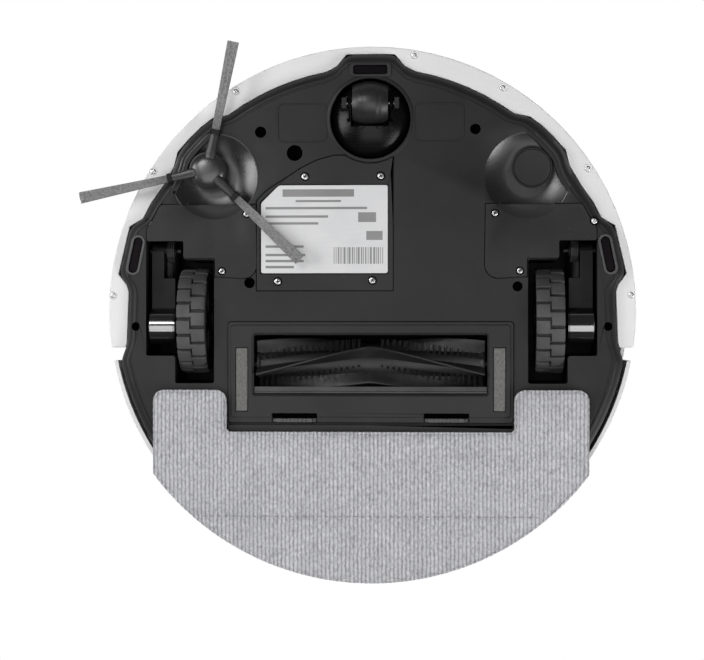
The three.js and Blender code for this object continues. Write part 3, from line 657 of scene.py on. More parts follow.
def combine(base, other, operation="DIFFERENCE"):
    """Cuts, joins or intersects base with another working solid, which is used up."""
    change = base.modifiers.new("Cut", "BOOLEAN")
    change.operation = operation
    change.solver = "EXACT"
    change.object = other
    mesh = applied(base, keep=True)
    base.modifiers.clear()
    base.data = mesh
    bpy.data.objects.remove(other)
    return base


def cut(base, *tools):
    for tool in tools:
        combine(base, tool)
    return base


def taken(base, smooth_angle=35.0):
    """The mesh of a finished working solid, whose object is removed."""
    mesh = base.data
    bpy.data.objects.remove(base)
    work = bmesh.new()
    work.from_mesh(mesh)
    many_sided = [face for face in work.faces if len(face.verts) > 4]
    bmesh.ops.triangulate(work, faces=many_sided)
    work.to_mesh(mesh)
    work.free()
    mesh.shade_smooth()
    mesh.set_sharp_from_angle(angle=math.radians(smooth_angle))
    return mesh


def rounded(base, width=0.35, segments=2, angle=32.0):
    """A finished working solid's mesh with its edges rounded."""
    return bevelled(taken(base), width * MM, segments, angle)


def shaped(name, base, material, body, node, width=0.35, segments=2):
    """Adds a working solid, its edges rounded, as a piece that stands for a node."""
    add_piece(name, rounded(base, width, segments), material, body, (node,))


def built(name, build, material, body, node, smooth_angle=40.0):
    """Adds a piece made by one function in millimetres."""
    add_piece(name, made(name, build, smooth_angle), material, body, (node,))


def span(side, near, far):
    """The lower and upper x of a stretch on one side."""
    return sorted((near * side, far * side))


def lofted(levels):
    """A closed solid through outlines of equal length, each at its height."""
    def build(work):
        skin(work, [[work.verts.new((x, y, z)) for x, y in outline] for z, outline in levels])
    return solid(build)


def turned(name, profile, centre, material, body, node, axis="Z", count=64, smooth_angle=30.0):
    """A lathe-turned piece from (radius, height) points."""
    built(name, lambda work: lathe(work, profile, centre, axis, count), material, body, node,
          smooth_angle)


# ---- Chassis ----

CASTER = (0.0, -117.5)
CASTER_CUP_R = 24.6
BOWL = (96.0, -82.0)
BOWL_R = 26.5
BOWL_DEPTH = 4.6
BLANK_BOSS = (99.0, -87.0)
RAIL_X = 83.0
LATCH_X = 46.6
CHASSIS = "chassis_base"
THROUGH = (-2, 6)  # heights that cut right through the plate
HOLES = ((-67.6, -109.5, 3.4), (64.3, -110.8, 3.2), (-46.6, -96.6, 4.8), (145, 10, 2.6),
         (-145, 10, 2.6), (-74.4, -16.8, 3.2), (90, -14.5, 3.0))


def bowl_profile(depth, radius=BOWL_R, floor_radius=12.5, steps=24):
    """A dish whose wall steepens towards its rim, closed over below the plate."""
    wall = []
    for i in range(steps + 1):
        t = i / steps
        wall.append((floor_radius + (radius - floor_radius) * t, depth * (1 - t ** 1.6)))
    return [(0.0, -1.5), (radius, -1.5)] + wall[::-1] + [(0.0, depth)]


def inside_rim(base):
    """Keeps only what lies within the plate's raised rim."""
    return combine(base, solid_prism(plate_outline(0.938), -3, 6), "INTERSECT")


def cut_side(plate, side):
    x0, x1 = span(side, RAIL_X - 2, RAIL_X + 2)
    bowl = solid_lathe(bowl_profile(BOWL_DEPTH), (BOWL[0] * side, BOWL[1], 0), count=192)
    cut(plate, inside_rim(bowl), solid_prism(well_outline(side), *THROUGH),
        solid_prism(panel_outline(side, 0.3), -2, 1.5),
        solid_prism(sensor_outline(side, 22, 5.5), *THROUGH),
        solid_block((x0, 92, -1), (x1, 170, 3.8)))


def chassis_plate():
    """The moulded plate, with every opening and recess that shows from below."""
    rim = [(5.0, 1.0), (3.2, 0.995), (1.4, 0.984), (0.4, 0.9755), (0.0, 0.970)]
    plate = lofted([(z, plate_outline(scale)) for z, scale in reversed(rim)])
    ridge = solid_prism(plate_outline(0.9625), -0.5, 0.55)
    combine(plate, combine(ridge, solid_prism(plate_outline(0.9545), -1, 1)))
    for _, side in SIDES:
        cut_side(plate, side)
    cut(plate, solid_disc(CASTER, CASTER_CUP_R, *THROUGH, 96),
        solid_prism(battery_outline(0.3), -2, 1.5),
        solid_pad((-10.5, -150.4, 10.5, -144.7), 0.8, *THROUGH),
        solid_pad((-87.8, 7.0, 87.8, 69.3), 2.2, -2, 1.5),
        solid_pad((-80.5, 10.5, 80.5, 62), 1.0, *THROUGH),
        solid_disc(SIDE_BRUSH, 5.0, *THROUGH),
        *(solid_disc((x, y), radius, -1, 4.4) for x, y, radius in HOLES))
    mesh = rounded(plate, 0.22, 2, 38.0)
    add_piece("chassis_plate", mesh, "chassis", "base", (CHASSIS,))
    mesh.materials.append(MATERIALS["bowl"])
    mesh.materials.append(MATERIALS["painted_shade"])
    for face in mesh.polygons:
        x, y, z = face.center / MM
        if z > 0.15 and math.dist((abs(x), y), BOWL) < BOWL_R + 0.1:
            face.material_index = 1
        # Painted shade: the walls and floors of the blind holes take the near-black material.
        if z > 0.4 and any(math.dist((x, y), hole[:2]) < hole[2] + 0.1 for hole in HOLES):
            face.material_index = 2


def chassis_walls():
    """The side wall, the wheel wells' linings and the caster's cup, above the plate."""
    wall = cut(solid_prism(plate_outline(0.955), 4.2, 40), solid_prism(plate_outline(0.94), 4, 41),
               solid_block((-66, 80, 5), (66, 170, 41)))
    shaped("chassis_side_wall", wall, "black", "base", CHASSIS)
    for name, side in SIDES:
        lining = cut(solid_prism(well_outline(side, 1.4), 4.3, 58),
                     solid_prism(well_outline(side), 4, 56.6))
        shaped(f"wheel_well_{name}", lining, "black", "base", CHASSIS)
    inner, outer = CASTER_CUP_R - 0.05, CASTER_CUP_R + 1.8
    cup = [(inner, 0.5), (outer, 4.2), (outer, 26.0), (3.4, 26.0), (3.4, 24.0),
           (inner - 2.0, 24.0), (inner, 22.0), (inner, 0.5)]
    turned("caster_cup", cup, (*CASTER, 0), "gloss", "base", CHASSIS, count=96)


def chassis_details():
    """Bosses, pads, sensor frames and the bar behind the roller's frame."""
    def raised(name, base, finish="chassis", width=0.3, segments=2):
        shaped(name, base, finish, "base", CHASSIS, width, segments)

    for name, side in SIDES:
        x = LATCH_X * side
        # Painted shade: a near-black sheet behind each latch's slot stands for the shade inside it.
        raised(f"latch_slot_shade_{name}", solid_pad((x - 13.7, 63.5, x + 13.7, 66.3), 0.3, 1.05, 1.45),
               "painted_shade", 0.05)
        x0, x1 = span(side, 26.5, 57.5)
        rib = cut(solid_pad((x0, -127, x1, -103), 4, -0.45, 0.6),
                  solid_pad((x0 + 0.9, -126.1, x1 - 0.9, -103.9), 3.2, -2, 0.2))
        raised(f"front_pad_{name}", rib, width=0.2)
        ring = cut(solid_prism(sensor_outline(side, 25.5, 8.8), -0.8, 1.5),
                   solid_prism(sensor_outline(side, 22.0, 5.5), -2, 3))
        raised(f"sensor_ring_{name}", ring, "latch", 0.5, 3)
    window = cut(solid_pad((-13, -151.6, 13, -143), 2.4, -1.0, 1.5),
                 solid_pad((-10.4, -150.3, 10.4, -144.8), 1.4, -2, 3))
    raised("sensor_frame_front", window, "frame", 0.5, 3)
    raised("rear_bar", solid_pad((-88, 70.2, 88, 75.2), 0.8, -2.2, 1), "frame", 0.5)
    # Painted highlight: a lighter ring on the side-brush bowl's rim stands for the light its
    # rounded edge catches; the other bowl has none.
    middle = (-BOWL[0], BOWL[1])
    lip = cut(solid_disc(middle, 27.0, -0.3, 0.4, 128), solid_disc(middle, 26.45, -1, 1, 128))
    raised("side_brush_bowl_highlight_ring", inside_rim(lip), "latch", 0.12)
    collar = [(24.7, 0.2), (24.7, -0.4), (25.1, -0.75), (25.9, -0.7), (26.9, -0.2), (27.2, 0.4)]
    turned("caster_collar", collar + collar[:1], (*CASTER, 0), "chassis", "base", CHASSIS, count=96)
    boss = [(0, -0.05), (10.7, -0.05), (11.0, -0.1), (11.3, 0.35), (11.6, -0.25), (12.0, -0.3),
            (12.2, 0.1), (12.2, 5.0), (0, 5.0)]
    turned("blank_boss", boss, (*BLANK_BOSS, 0), "cover", "base", CHASSIS, count=80)


chassis_plate()
chassis_walls()
chassis_details()


# ---- Screws and covers ----

def screw(name, place, radius, body, node, turn, rim_material="painted_shade"):
    """A countersunk cross-head screw seen from below, with a ring round its head; unless given
    another material, the ring is near black, painted shade in the gap round the head.
    """
    x, y, z = place
    head = solid_lathe([(0, z), (radius * 0.7, z + 0.05), (radius, z + 0.35), (radius, z + 1.2),
                        (0, z + 1.2)], (x, y, 0), count=32)
    half, narrow = radius * 0.62, radius * 0.15
    for angle in (turn, turn + 90):
        slot = solid_block((-half, -narrow, -0.4), (half, narrow, 0.55))
        slot.data.transform(Matrix.Translation((x * MM, y * MM, z * MM))
                            @ Matrix.Rotation(math.radians(angle), 4, "Z"))
        combine(head, slot)
    shaped(name, head, "screw", body, node, 0.06)
    rim = radius + 0.55
    ring = [(radius + 0.02, z + 0.9), (radius + 0.06, z + 0.16), (rim, z - 0.12), (rim + 0.1, z),
            (rim + 0.1, z + 0.9), (radius + 0.02, z + 0.9)]
    turned(name + "_ring", ring, (x, y, 0), rim_material, body, node, count=40)


def battery_cover():
    recess = [(-67.9, -66.2), (-56.4, -77.2), (11.2, -77.2), (11.2, -22.2), (-67.9, -22.2)]
    cover = cut(solid_prism(battery_outline(), -0.7, 1.2), solid_disc(CASTER, 27.4, -2, 2, 96),
                solid_prism(filleted(recess, 1.2), -1, -0.52))
    shaped("battery_cover_panel", cover, "cover", "base", "battery_cover", 0.35, 3)
    for i, (x, y) in enumerate(((-40.2, -82), (6.4, -82.2), (-57, -17.6), (1.2, -18.2))):
        screw(f"battery_screw_{i + 1}", (x, y, -1.1), 2.0, "base", "battery_cover", 20 + 33 * i)


def label():
    """A silvery rating label with plain printed bars in place of any wording."""
    outline = [(-67.2, -65.8), (-56.2, -76.6), (10.6, -76.6), (10.6, -22.7), (-67.2, -22.7)]
    sheet = solid_prism(filleted(outline, 1.5), -0.66, -0.5)
    shaped("rating_label", sheet, "label", "base", "battery_cover", 0.03)
    bars = [(-54, -74.2, -10, -69.6)]
    bars += [(-64.5, y, x, y + 1.5) for y, x in
             ((-63.4, -2), (-58.2, -26), (-54.0, -32), (-39.8, -41), (-34.6, -40), (-30.9, -41),
              (-27.2, -47))]
    bars += [(-46, -67.6, -18, -66.3), (-7.5, -60, 3.5, -54), (-2.5, -48.5, 7.5, -43)]
    chance = random.Random(4)
    x = -22.5
    while x < 7.5:
        width = chance.choice((0.45, 0.8, 1.3))
        bars.append((x, -38.6, x + width, -28.4))
        x += width + chance.choice((0.5, 0.8))

    def build(work):
        for x0, y0, x1, y1 in bars:
            block(work, (x0, y0, -0.675), (x1, y1, -0.64))
    built("rating_label_bars", build, "ink", "base", "battery_cover")


def wheel_covers():
    """The panels ahead of the wheels, with the bowls' round walls running on into them."""
    for name, side in SIDES:
        dish = solid_lathe(bowl_profile(1.55, BOWL_R - 0.2, 20.0), (BOWL[0] * side, BOWL[1], -0.7))
        panel = cut(solid_prism(panel_outline(side), -0.7, 1.2), dish,
                    solid_disc((-74.4, -16.8), 3.5, -2, 3))
        node = f"wheel_cover_{name}"
        shaped(node + "_panel", panel, "cover", "base", node, 0.3)
        for i, (x, y) in enumerate(((76.2, -59.2), (136.6, -54.2), (91.4, -24.0))):
            level = 0.6 if i == 1 and side < 0 else -0.95
            screw(f"{node}_screw_{i + 1}", (x * side, y, level), 1.9, "base", node, 15 + 40 * i)


battery_cover()
label()
wheel_covers()


# ---- Caster ----

def caster():
    """A glossy domed turntable with a roller between two clips."""
    wheel_y, wheel_z = -127.3, 3.5
    dome = [(r, -3.0 + 0.0145 * r * r) for r in (0, 3, 6, 9, 12, 15, 18, 20.5, 22.5)]
    dome += [(23.5, 6.0), (24.0, 7.6), (24.0, 20.9), (0, 20.9)]
    swivel = solid_lathe(dome, (*CASTER, 0), count=128)
    combine(swivel, solid_block((-11.8, -145, -10), (11.8, wheel_y + 14.3, 17.8)))
    for _, side in SIDES:
        for near, far, front, rear, top in ((14.2, 18.0, -4.6, 4.6, 3.0),
                                            (11.7, 13.2, 2.0, 9.5, 1.5)):
            x0, x1 = span(side, near, far)
            combine(swivel, solid_block((x0, wheel_y + front, -4), (x1, wheel_y + rear, top)))
    shaped("caster_turntable", swivel, "dome", "caster_fork", "caster_swivel", 0.45, 3)
    for name, side in SIDES:
        x0, x1 = span(side, 14.6, 17.6)
        clip = cut(solid_block((x0, wheel_y - 3.4, 0.2), (x1, wheel_y + 3.4, 4.0)),
                   solid_rod((x0 - 1, x1 + 1), wheel_y, wheel_z, 1.5, 24))
        shaped(f"caster_clip_{name}", clip, "cover", "caster_fork", "caster_swivel", 0.3)
    tread = []
    for i in range(25):
        x = -10.9 + 21.8 * i / 24
        crown = 13.5 - 2.7 * abs(x / 10.9) ** 2.1
        tread.append((crown - (0.22 if i in (6, 18) else 0.0), x))
    profile = [(1.4, -11), (10.4, -11)] + tread + [(10.4, 11), (1.4, 11), (1.4, -11)]
    turned("caster_roller", profile, (0, wheel_y, wheel_z), "roller", "caster_roller",
           "caster_wheel", "X", 96)
    pin = [(0, -16.5), (1.0, -16.5), (1.3, -16.2), (1.3, 16.2), (1.0, 16.5), (0, 16.5)]
    turned("caster_pin", pin, (0, wheel_y, wheel_z), "steel", "caster_fork", "caster_axle", "X", 32)


caster()


# ---- Drive units ----

WHEEL = (110.0, 6.5, 22.5)
WHEEL_R = 32.5
LUGS = 20


def lug_part(work, across, start, end):
    """Part of a tread lug: between two x values, from one angle to another, slightly crowned."""
    steps = 4
    rings = []
    for x in across:
        shoulder = max(0.0, abs(x) - 6.2) / 2.5
        top = WHEEL_R - 0.75 * shoulder ** 2
        outer, inner = [], []
        for i in range(steps + 1):
            angle = start + (end - start) * i / steps
            across_y, across_z = math.cos(angle), math.sin(angle)
            outer.append(work.verts.new((x, top * across_y, top * across_z)))
            inner.append(work.verts.new((x, 30.0 * across_y, 30.0 * across_z)))
        rings.append(outer + inner[::-1])
    skin(work, rings)


def tyre(name, side):
    """Two rows of lugs, the outer row half a pitch on, each joined to its neighbour in an S."""
    pitch = 2 * math.pi / LUGS
    groove = 2.0 / WHEEL_R
    inner_row = [-8.7, -7.6, -6.4, -3.4, -0.45]
    outer_row = [0.45, 3.4, 6.4, 7.6, 8.7]

    def build(work):
        for i in range(LUGS):
            start = i * pitch
            half = start + pitch / 2
            lug_part(work, inner_row, start, start + pitch - groove)
            lug_part(work, outer_row, half, half + pitch - groove)
            lug_part(work, [-0.6, 0.6], half, start + pitch - groove)
    centre = (WHEEL[0] * side, WHEEL[1], WHEEL[2])
    lugs = made(name, build, 28.0)
    lugs.transform(Matrix.Translation([value * MM for value in centre]))
    node, body = f"drive_tyre_{name}", f"wheel_{name}"
    add_piece(node + "_lugs", bevelled(lugs, 0.35 * MM, 2, 40.0), "tyre", body, (node,))
    # Painted shade: the carcass that shows between the lugs is a darker copy of the tyre rubber.
    carcass = [(23.3, -8.5), (26.5, -8.75), (29.2, -8.6), (30.4, -7.8), (30.4, 7.8), (29.2, 8.6),
               (26.5, 8.75), (23.3, 8.5), (23.3, -8.5)]
    turned(node + "_carcass", carcass, centre, "tyre_dark", body, node, "X", 96)


def gear_case(name, side):
    """The glossy round gear case beside the wheel, stepped at the end next to the tyre."""
    low, high = 120.7, 136.8
    profile = [(0, low), (10.2, low), (10.6, low + 0.3), (10.6, low + 0.8), (11.0, low + 1.1),
               (11.0, high - 0.5), (10.5, high), (0, high)]
    if side < 0:
        profile = [(r, -x) for r, x in reversed(profile)]
    turned(f"gear_case_{name}", profile, (0, 10, 9.5), "case", f"suspension_{name}",
           f"wheel_arm_{name}", "X", 128)


for side_name, side_sign in SIDES:
    tyre(side_name, side_sign)
    gear_case(side_name, side_sign)


# ---- Side brush ----

ARM_ANGLES = (-78.0, 167.5, 44.0)


def placed_arm(mesh, angle):
    """Turns a mesh drawn along +X to an arm's angle and moves it to the hub."""
    x, y = SIDE_BRUSH
    mesh.transform(Matrix.Translation((x * MM, y * MM, 0))
                   @ Matrix.Rotation(math.radians(angle), 4, "Z"))
    return mesh


def side_brush_hub():
    dome = [(0, -7.4), (3, -7.32), (6, -7.0), (8.4, -6.3), (10.2, -5.2), (11.2, -4.0), (11.6, -2.8),
            (11.6, -1.4), (0, -1.4)]
    hub = solid_lathe(dome, (*SIDE_BRUSH, 0), count=96)
    shaft = solid_lathe([(0, -1.6), (4.6, -1.6), (4.6, 9), (0, 9)], (*SIDE_BRUSH, 0), count=48)
    combine(hub, shaft, "UNION")
    shaped("side_brush_dome", hub, "hub", "side_brush", "side_brush_hub", 0.2)


def sleeve(index, angle):
    """The soft rubber sleeve that holds a bundle: tapered, ribbed on top, with a dark band."""
    stations = [(7.2, 2.5, -7.15, -3.6), (9.5, 3.3, -7.1, -3.2), (13, 3.1, -6.9, -3.0),
                (17, 2.75, -6.75, -3.0), (21, 2.6, -6.65, -3.0), (24.6, 2.7, -6.6, -3.1)]

    def build(work):
        rings = []
        for x, half, low, high in stations:
            middle_z, tall = (low + high) / 2, (high - low) / 2
            ring = []
            for k in range(16):
                turn = 2 * math.pi * k / 16
                c, s = math.cos(turn), math.sin(turn)
                ring.append(work.verts.new((
                    x, half * math.copysign(abs(c) ** 0.6, c),
                    middle_z + tall * math.copysign(abs(s) ** 0.6, s))))
            rings.append(ring)
        skin(work, rings)
    band = solid_pad((22.0, -3.05, 25.2, 3.05), 0.8, -6.95, -2.7)
    rib = solid_pad((9.5, -0.55, 21.5, 0.55), 0.5, -7.35, -6.4)
    for part, mesh, finish in (("sleeve", made(f"sleeve_{index}", build, 60.0), "sleeve"),
                               ("band", rounded(band, 0.45, 3), "black"),
                               ("rib", rounded(rib, 0.3, 3), "sleeve")):
        add_piece(f"side_brush_{part}_{index}", placed_arm(mesh, angle), finish, "side_brush",
                  ("side_brush_hub",))


def bristles(index, angle):
    """A flat bundle of separate nylon strands, spreading and drooping towards the floor."""
    chance = random.Random(20 + index)
    layers, per_layer, sides, steps = 3, 26, 5, 6

    def strand(work, across, layer):
        thickness = 0.17 + 0.03 * chance.random()
        end = 80.0 - 0.5 * chance.random() - 0.25 * layer
        wander = chance.uniform(-0.12, 0.12)
        rings = []
        for i in range(steps + 1):
            t = i / steps
            x = 24.6 + (end - 24.6) * t
            y = across * (2.15 + 1.25 * t) + wander * math.sin(math.pi * t)
            z = -5.6 - 4.0 * t ** 1.15 + layer * 0.5
            rings.append([work.verts.new((x, y + thickness * math.cos(k * 2 * math.pi / sides),
                                          z + thickness * math.sin(k * 2 * math.pi / sides)))
                          for k in range(sides)])
        work.faces.new(rings[-1])
        skin(work, rings, caps=False)

    def build(work):
        for layer in range(layers):
            for i in range(per_layer):
                across = -1 + 2 * (i + 0.5 * (layer % 2)) / (per_layer - 0.5)
                strand(work, across + chance.uniform(-0.02, 0.02), layer)
    mesh = placed_arm(made(f"bristles_{index}", build, 80.0), angle)
    add_piece(f"side_brush_bristles_{index}", mesh, "bristle", "side_brush",
              (f"side_brush_tuft_{index}",))


side_brush_hub()
for arm_index, arm_angle in enumerate(ARM_ANGLES, 1):
    sleeve(arm_index, arm_angle)
    bristles(arm_index, arm_angle)


# ---- Roller's frame ----

def brush_frame():
    """The removable frame: a raised plate on a lower border, with a chamfered mouth."""
    frame_body = solid_pad((-87.5, 7.3, 87.5, 69), 2, -1.3, 1.2)
    combine(frame_body, solid_pad((-85.6, 9.2, 85.6, 65.6), 1.6, -2.2, -1.0), "UNION")
    mouth = [(z, rounded_rectangle(-71.6 - g, 15.3 - g, 71.6 + g, 51.4 + g, 0.8 + g))
             for z, g in ((-2.6, 1.9), (-0.9, 0.0), (3.0, 0.0))]
    combine(frame_body, lofted(mouth))
    for _, side in SIDES:
        x = LATCH_X * side
        x0, x1 = span(side, 75.2, 82.8)
        cut(frame_body, solid_block((x0, 23, -4), (x1, 62.1, -1.2)),
            solid_pad((x - 13.9, 63.3, x + 13.9, 71), 0.7, -4, 3))
    shaped("brush_frame", frame_body, "frame", "mouth_frame", "brush_cover", 0.3)


def latch(name, side):
    """A spring latch: a ribbed thumb tab on a wider root."""
    x = LATCH_X * side
    tab = solid_pad((x - 11.2, 66.5, x + 11.2, 68.8), 0.7, -2.6, 0.9)
    combine(tab, solid_pad((x - 13.2, 66.5, x + 13.2, 68.8), 0.4, -0.2, 0.9), "UNION")
    for i in range(-3, 4):
        groove_x = x + i * 2.4
        combine(tab, solid_block((groove_x - 0.35, 66, -3), (groove_x + 0.35, 69, -2.2)))
    node = f"brush_latch_{name}"
    shaped(node + "_tab", tab, "latch", f"latch_{name}", node, 0.18)


def remeshed(base, voxel):
    """An even quad skin over a working solid."""
    remesh = base.modifiers.new("Skin", "REMESH")
    remesh.mode = "VOXEL"
    remesh.voxel_size = voxel * MM
    return applied(base)


def felt_strip(name, side):
    """A strip of felt pile with an uneven, fuzzy face."""
    x0, x1 = span(side, 75.6, 82.4)
    mesh = remeshed(solid_block((x0, 23.4, -2.85), (x1, 61.7, -1.5)), 0.42)
    normals = [vertex.normal.copy() for vertex in mesh.vertices]
    for vertex, normal in zip(mesh.vertices, normals):
        lift = 0.13 * noise.noise(vertex.co * 900.0) + 0.09 * noise.noise(vertex.co * 2600.0)
        vertex.co += normal * lift * MM
    mesh.shade_smooth()
    node = f"felt_strip_{name}"
    add_piece(node + "_pile", mesh, "felt", "mouth_frame", (node,))


def scraper():
    """The rubber lip along the mouth's rear edge: a bead and a thin sloping blade."""
    section = [(46.9, -0.62), (46.95, -0.95), (48.2, -1.25), (49.6, -1.5), (50.0, -1.95),
               (50.6, -2.0), (51.05, -1.7), (51.1, -0.62)]

    def build(work):
        skin(work, [[work.verts.new((x, y, z)) for y, z in section] for x in (-71.2, 71.2)])
    mesh = bevelled(made("scraper", build), 0.12 * MM, 2)
    add_piece("brush_lip_blade", mesh, "blade", "mouth_frame", ("brush_lip",))


brush_frame()
scraper()
for side_name, side_sign in SIDES:
    latch(side_name, side_sign)
    felt_strip(side_name, side_sign)


# ---- Roller brush ----

ROLLER = (33.0, 10.0)
ROLLER_HALF = 70.0
TWIST = math.radians(70)


def winding(x, start):
    """The angle of a V-shaped row round the roller at x; zero points up, turning to the front."""
    return start + TWIST * math.sqrt(x * x + 9.0) / ROLLER_HALF


def on_roller(x, radius, aside, turn):
    """A point at a radius along a row's direction and a distance to its side."""
    y = -radius * math.sin(turn) + aside * math.cos(turn)
    z = radius * math.cos(turn) + aside * math.sin(turn)
    return (x, ROLLER[0] + y, ROLLER[1] + z)


def roller_blade(work, start):
    """A flexible V blade, thick at its root and rounded at its tip."""
    section = [(7.4, -1.7), (9.5, -1.25), (12.5, -1.0), (15.0, -0.85), (15.8, -0.5), (15.95, 0.1),
               (15.7, 0.65), (15.0, 0.9), (12.5, 1.0), (9.5, 1.3), (7.4, 1.7)]
    rings = []
    for i in range(71):
        x = -ROLLER_HALF + 2 * ROLLER_HALF * i / 70
        turn = winding(x, start)
        rings.append([work.verts.new(on_roller(x, r, a, turn)) for r, a in section])
    skin(work, rings)


def bristle_row(work, start, chance):
    """Tufts of fine strands set in a V row between two blades."""
    for i in range(-19, 20):
        x = i * 3.55
        if abs(x) < 5:
            continue
        turn = winding(x, start)
        for _ in range(12):
            lean, spread = chance.uniform(-0.9, 0.9), chance.uniform(-1.1, 1.1)
            tip = chance.uniform(14.6, 15.6)
            rings = []
            for radius, grow in ((7.8, 0.35), (11.5, 0.7), (tip, 1.15)):
                centre = (x + spread * grow, radius, lean * grow)
                ring = []
                for k in range(4):
                    swing = math.pi * k / 2
                    ring.append(work.verts.new(on_roller(
                        centre[0] + 0.11 * math.cos(swing), centre[1],
                        centre[2] + 0.11 * math.sin(swing), turn)))
                rings.append(ring)
            work.faces.new(rings[-1])
            skin(work, rings, caps=False)


def main_brush():
    core = [(0, -77), (2.6, -77), (2.6, -70.2), (8.6, -70), (8.9, -69), (8.0, -67.5), (7.9, 0),
            (8.0, 67.5), (8.9, 69), (8.6, 70), (2.6, 70.2), (2.6, 81.5), (0, 81.5)]
    turned("main_brush_core", core, (0, *ROLLER), "core", "roller", "main_brush", "X")
    quarter = math.pi / 2

    def blades(work):
        for i in range(4):
            roller_blade(work, quarter * (i + 0.5))

    def tufts(work):
        chance = random.Random(11)
        for i in range(4):
            bristle_row(work, quarter * (i + 1), chance)
    built("main_brush_blades", blades, "roller_blade", "roller", "main_brush", 50.0)
    built("main_brush_bristles", tufts, "dark_bristle", "roller", "main_brush", 80.0)


main_brush()


# ---- Mop ----

STITCH_Y = 126.0
HEM_OUT = 0.6  # how far the cloth reaches past its packed outline
REAR_BULGE = 1.0
CLOTH_LOW, CLOTH_HIGH = -8.2, -5.1
SWELL_CAP = 0.9
CORD_SIDES = 10


def mop_outline(inset=0.0, steps=64, bulge=0.0):
    side_x, notch_x, ear_y = 132.0 - inset, 89.0 + inset, 50.0 + inset
    radius, centre_y = 164.4 - inset + bulge, 0.2
    end = math.degrees(math.acos(side_x / radius))
    half = [(0, 75.6 + inset), (notch_x - 2, 75.6 + inset), (notch_x, 73.6 + inset)]
    half += arc(6, 180, 270, 8, (notch_x + 6, ear_y + 6))
    half += arc(6, 270, 360, 8, (side_x - 6, ear_y + 6))
    half += arc(radius, end, 90, steps, (0, centre_y))
    return mirrored([(0.0, y) if abs(x) < 1e-6 else (x, y) for x, y in half])


def swollen(mesh, cap):
    """Lets air pressure swell a pad by a short cloth simulation, no point moving past cap."""
    pad = linked("pad", mesh)
    start = [vertex.co.copy() for vertex in mesh.vertices]
    held = pad.vertex_groups.new(name="held")
    for vertex in mesh.vertices:
        x, y, z = vertex.co / MM
        seam = abs(y - STITCH_Y) < 1.6 and abs(x) < 104
        if z > -6.4 or seam:
            held.add([vertex.index], 1.0, "REPLACE")
    cloth = pad.modifiers.new("Cloth", "CLOTH")
    cloth.settings.vertex_group_mass = "held"
    cloth.settings.use_pressure = True
    cloth.settings.uniform_pressure_force = 4.0
    cloth.settings.effector_weights.gravity = 0.0
    cloth.settings.quality = 5
    stage = bpy.context.scene
    for frame_number in range(1, 21):
        stage.frame_set(frame_number)
    result = applied(pad)
    stage.frame_set(1)
    for vertex, old in zip(result.vertices, start):
        move = vertex.co - old
        if move.length > cap:
            vertex.co = old + move.normalized() * cap
    return result


def finer(mesh, levels):
    holder = linked("finer", mesh)
    divide = holder.modifiers.new("Divide", "SUBSURF")
    divide.levels = levels
    return applied(holder)


def loops(x, y):
    """Height of the knit's rows of loops and its uneven pile, in millimetres."""
    drift = 0.5 * noise.noise(Vector((x * 0.05, y * 0.02, 3.0)))
    row = math.cos(2 * math.pi * (x / 2.45 + drift))
    pile = noise.noise(Vector((x * 0.55, y * 0.38, 0.0)))
    mottle = noise.noise(Vector((x * 0.06, y * 0.06, 7.0)))
    return 0.14 * row + 0.26 * pile + 0.16 * mottle


def knitted(mesh):
    """Raises loops over the cloth's outer face and draws in the stitched line."""
    normals = [vertex.normal.copy() for vertex in mesh.vertices]
    for vertex, normal in zip(mesh.vertices, normals):
        x, y, _ = vertex.co / MM
        if normal.z > 0.4:
            continue
        height = loops(x, y) * max(0.0, -normal.z)
        seam = math.exp(-((y - STITCH_Y) / 1.3) ** 2) if abs(x) < 106 else 0.0
        pucker = 0.6 + 0.4 * math.cos(2 * math.pi * x / 4.4)
        height = height * (1 - seam) - 0.75 * seam * pucker
        vertex.co += normal * height * MM
        vertex.co.z = max(vertex.co.z, -9.7 * MM)
    mesh.shade_smooth()


def mop_cloth():
    outline = mop_outline(-HEM_OUT, bulge=REAR_BULGE)
    pad = remeshed(solid_prism(outline, CLOTH_LOW, CLOTH_HIGH), 2.1)
    pad = swollen(pad, SWELL_CAP * MM)
    pad = finer(pad, 2)
    knitted(pad)
    cloth = add_piece("mop_pad", pad, "knit", "mop", ("mop_cloth",))


def edge_seam():
    """The overlocked edge: a soft, slightly uneven cord round the cloth's outline."""
    corners = mop_outline(0.1 - HEM_OUT, bulge=REAR_BULGE)
    path = []
    for (x0, y0), (x1, y1) in zip(corners, corners[1:] + corners[:1]):
        parts = max(1, round(math.dist((x0, y0), (x1, y1)) / 1.3))
        path += [(x0 + (x1 - x0) * i / parts, y0 + (y1 - y0) * i / parts) for i in range(parts)]

    def build(work):
        rings = []
        for i, (x, y) in enumerate(path):
            before, after = path[i - 1], path[(i + 1) % len(path)]
            along = math.atan2(after[1] - before[1], after[0] - before[0])
            reach = 0.72 + 0.1 * math.sin(i * 2.1) + 0.12 * noise.noise(Vector((x, y, 0)) * 0.4)
            rings.append([work.verts.new((x + reach * math.cos(t) * math.sin(along),
                                          y - reach * math.cos(t) * math.cos(along),
                                          -6.5 + 1.15 * reach * math.sin(t)))
                          for t in (2 * math.pi * k / CORD_SIDES for k in range(CORD_SIDES))])
        skin(work, rings + rings[:1], caps=False)
    built("mop_edge_seam", build, "knit", "mop", "mop_cloth", 80.0)


def stitching():
    """Short stitches along the cloth's rear quilting line."""
    def build(work):
        for i in range(-23, 24):
            x = i * 4.4 + 0.8 * noise.noise(Vector((i * 1.7, 0, 0)))
            lathe(work, [(0, x - 1.2), (0.2, x - 1.0), (0.26, x), (0.2, x + 1.0), (0, x + 1.2)],
                  (0, STITCH_Y, -8.05), "X", 8)
    built("mop_stitches", build, "thread", "mop", "mop_cloth", 60.0)


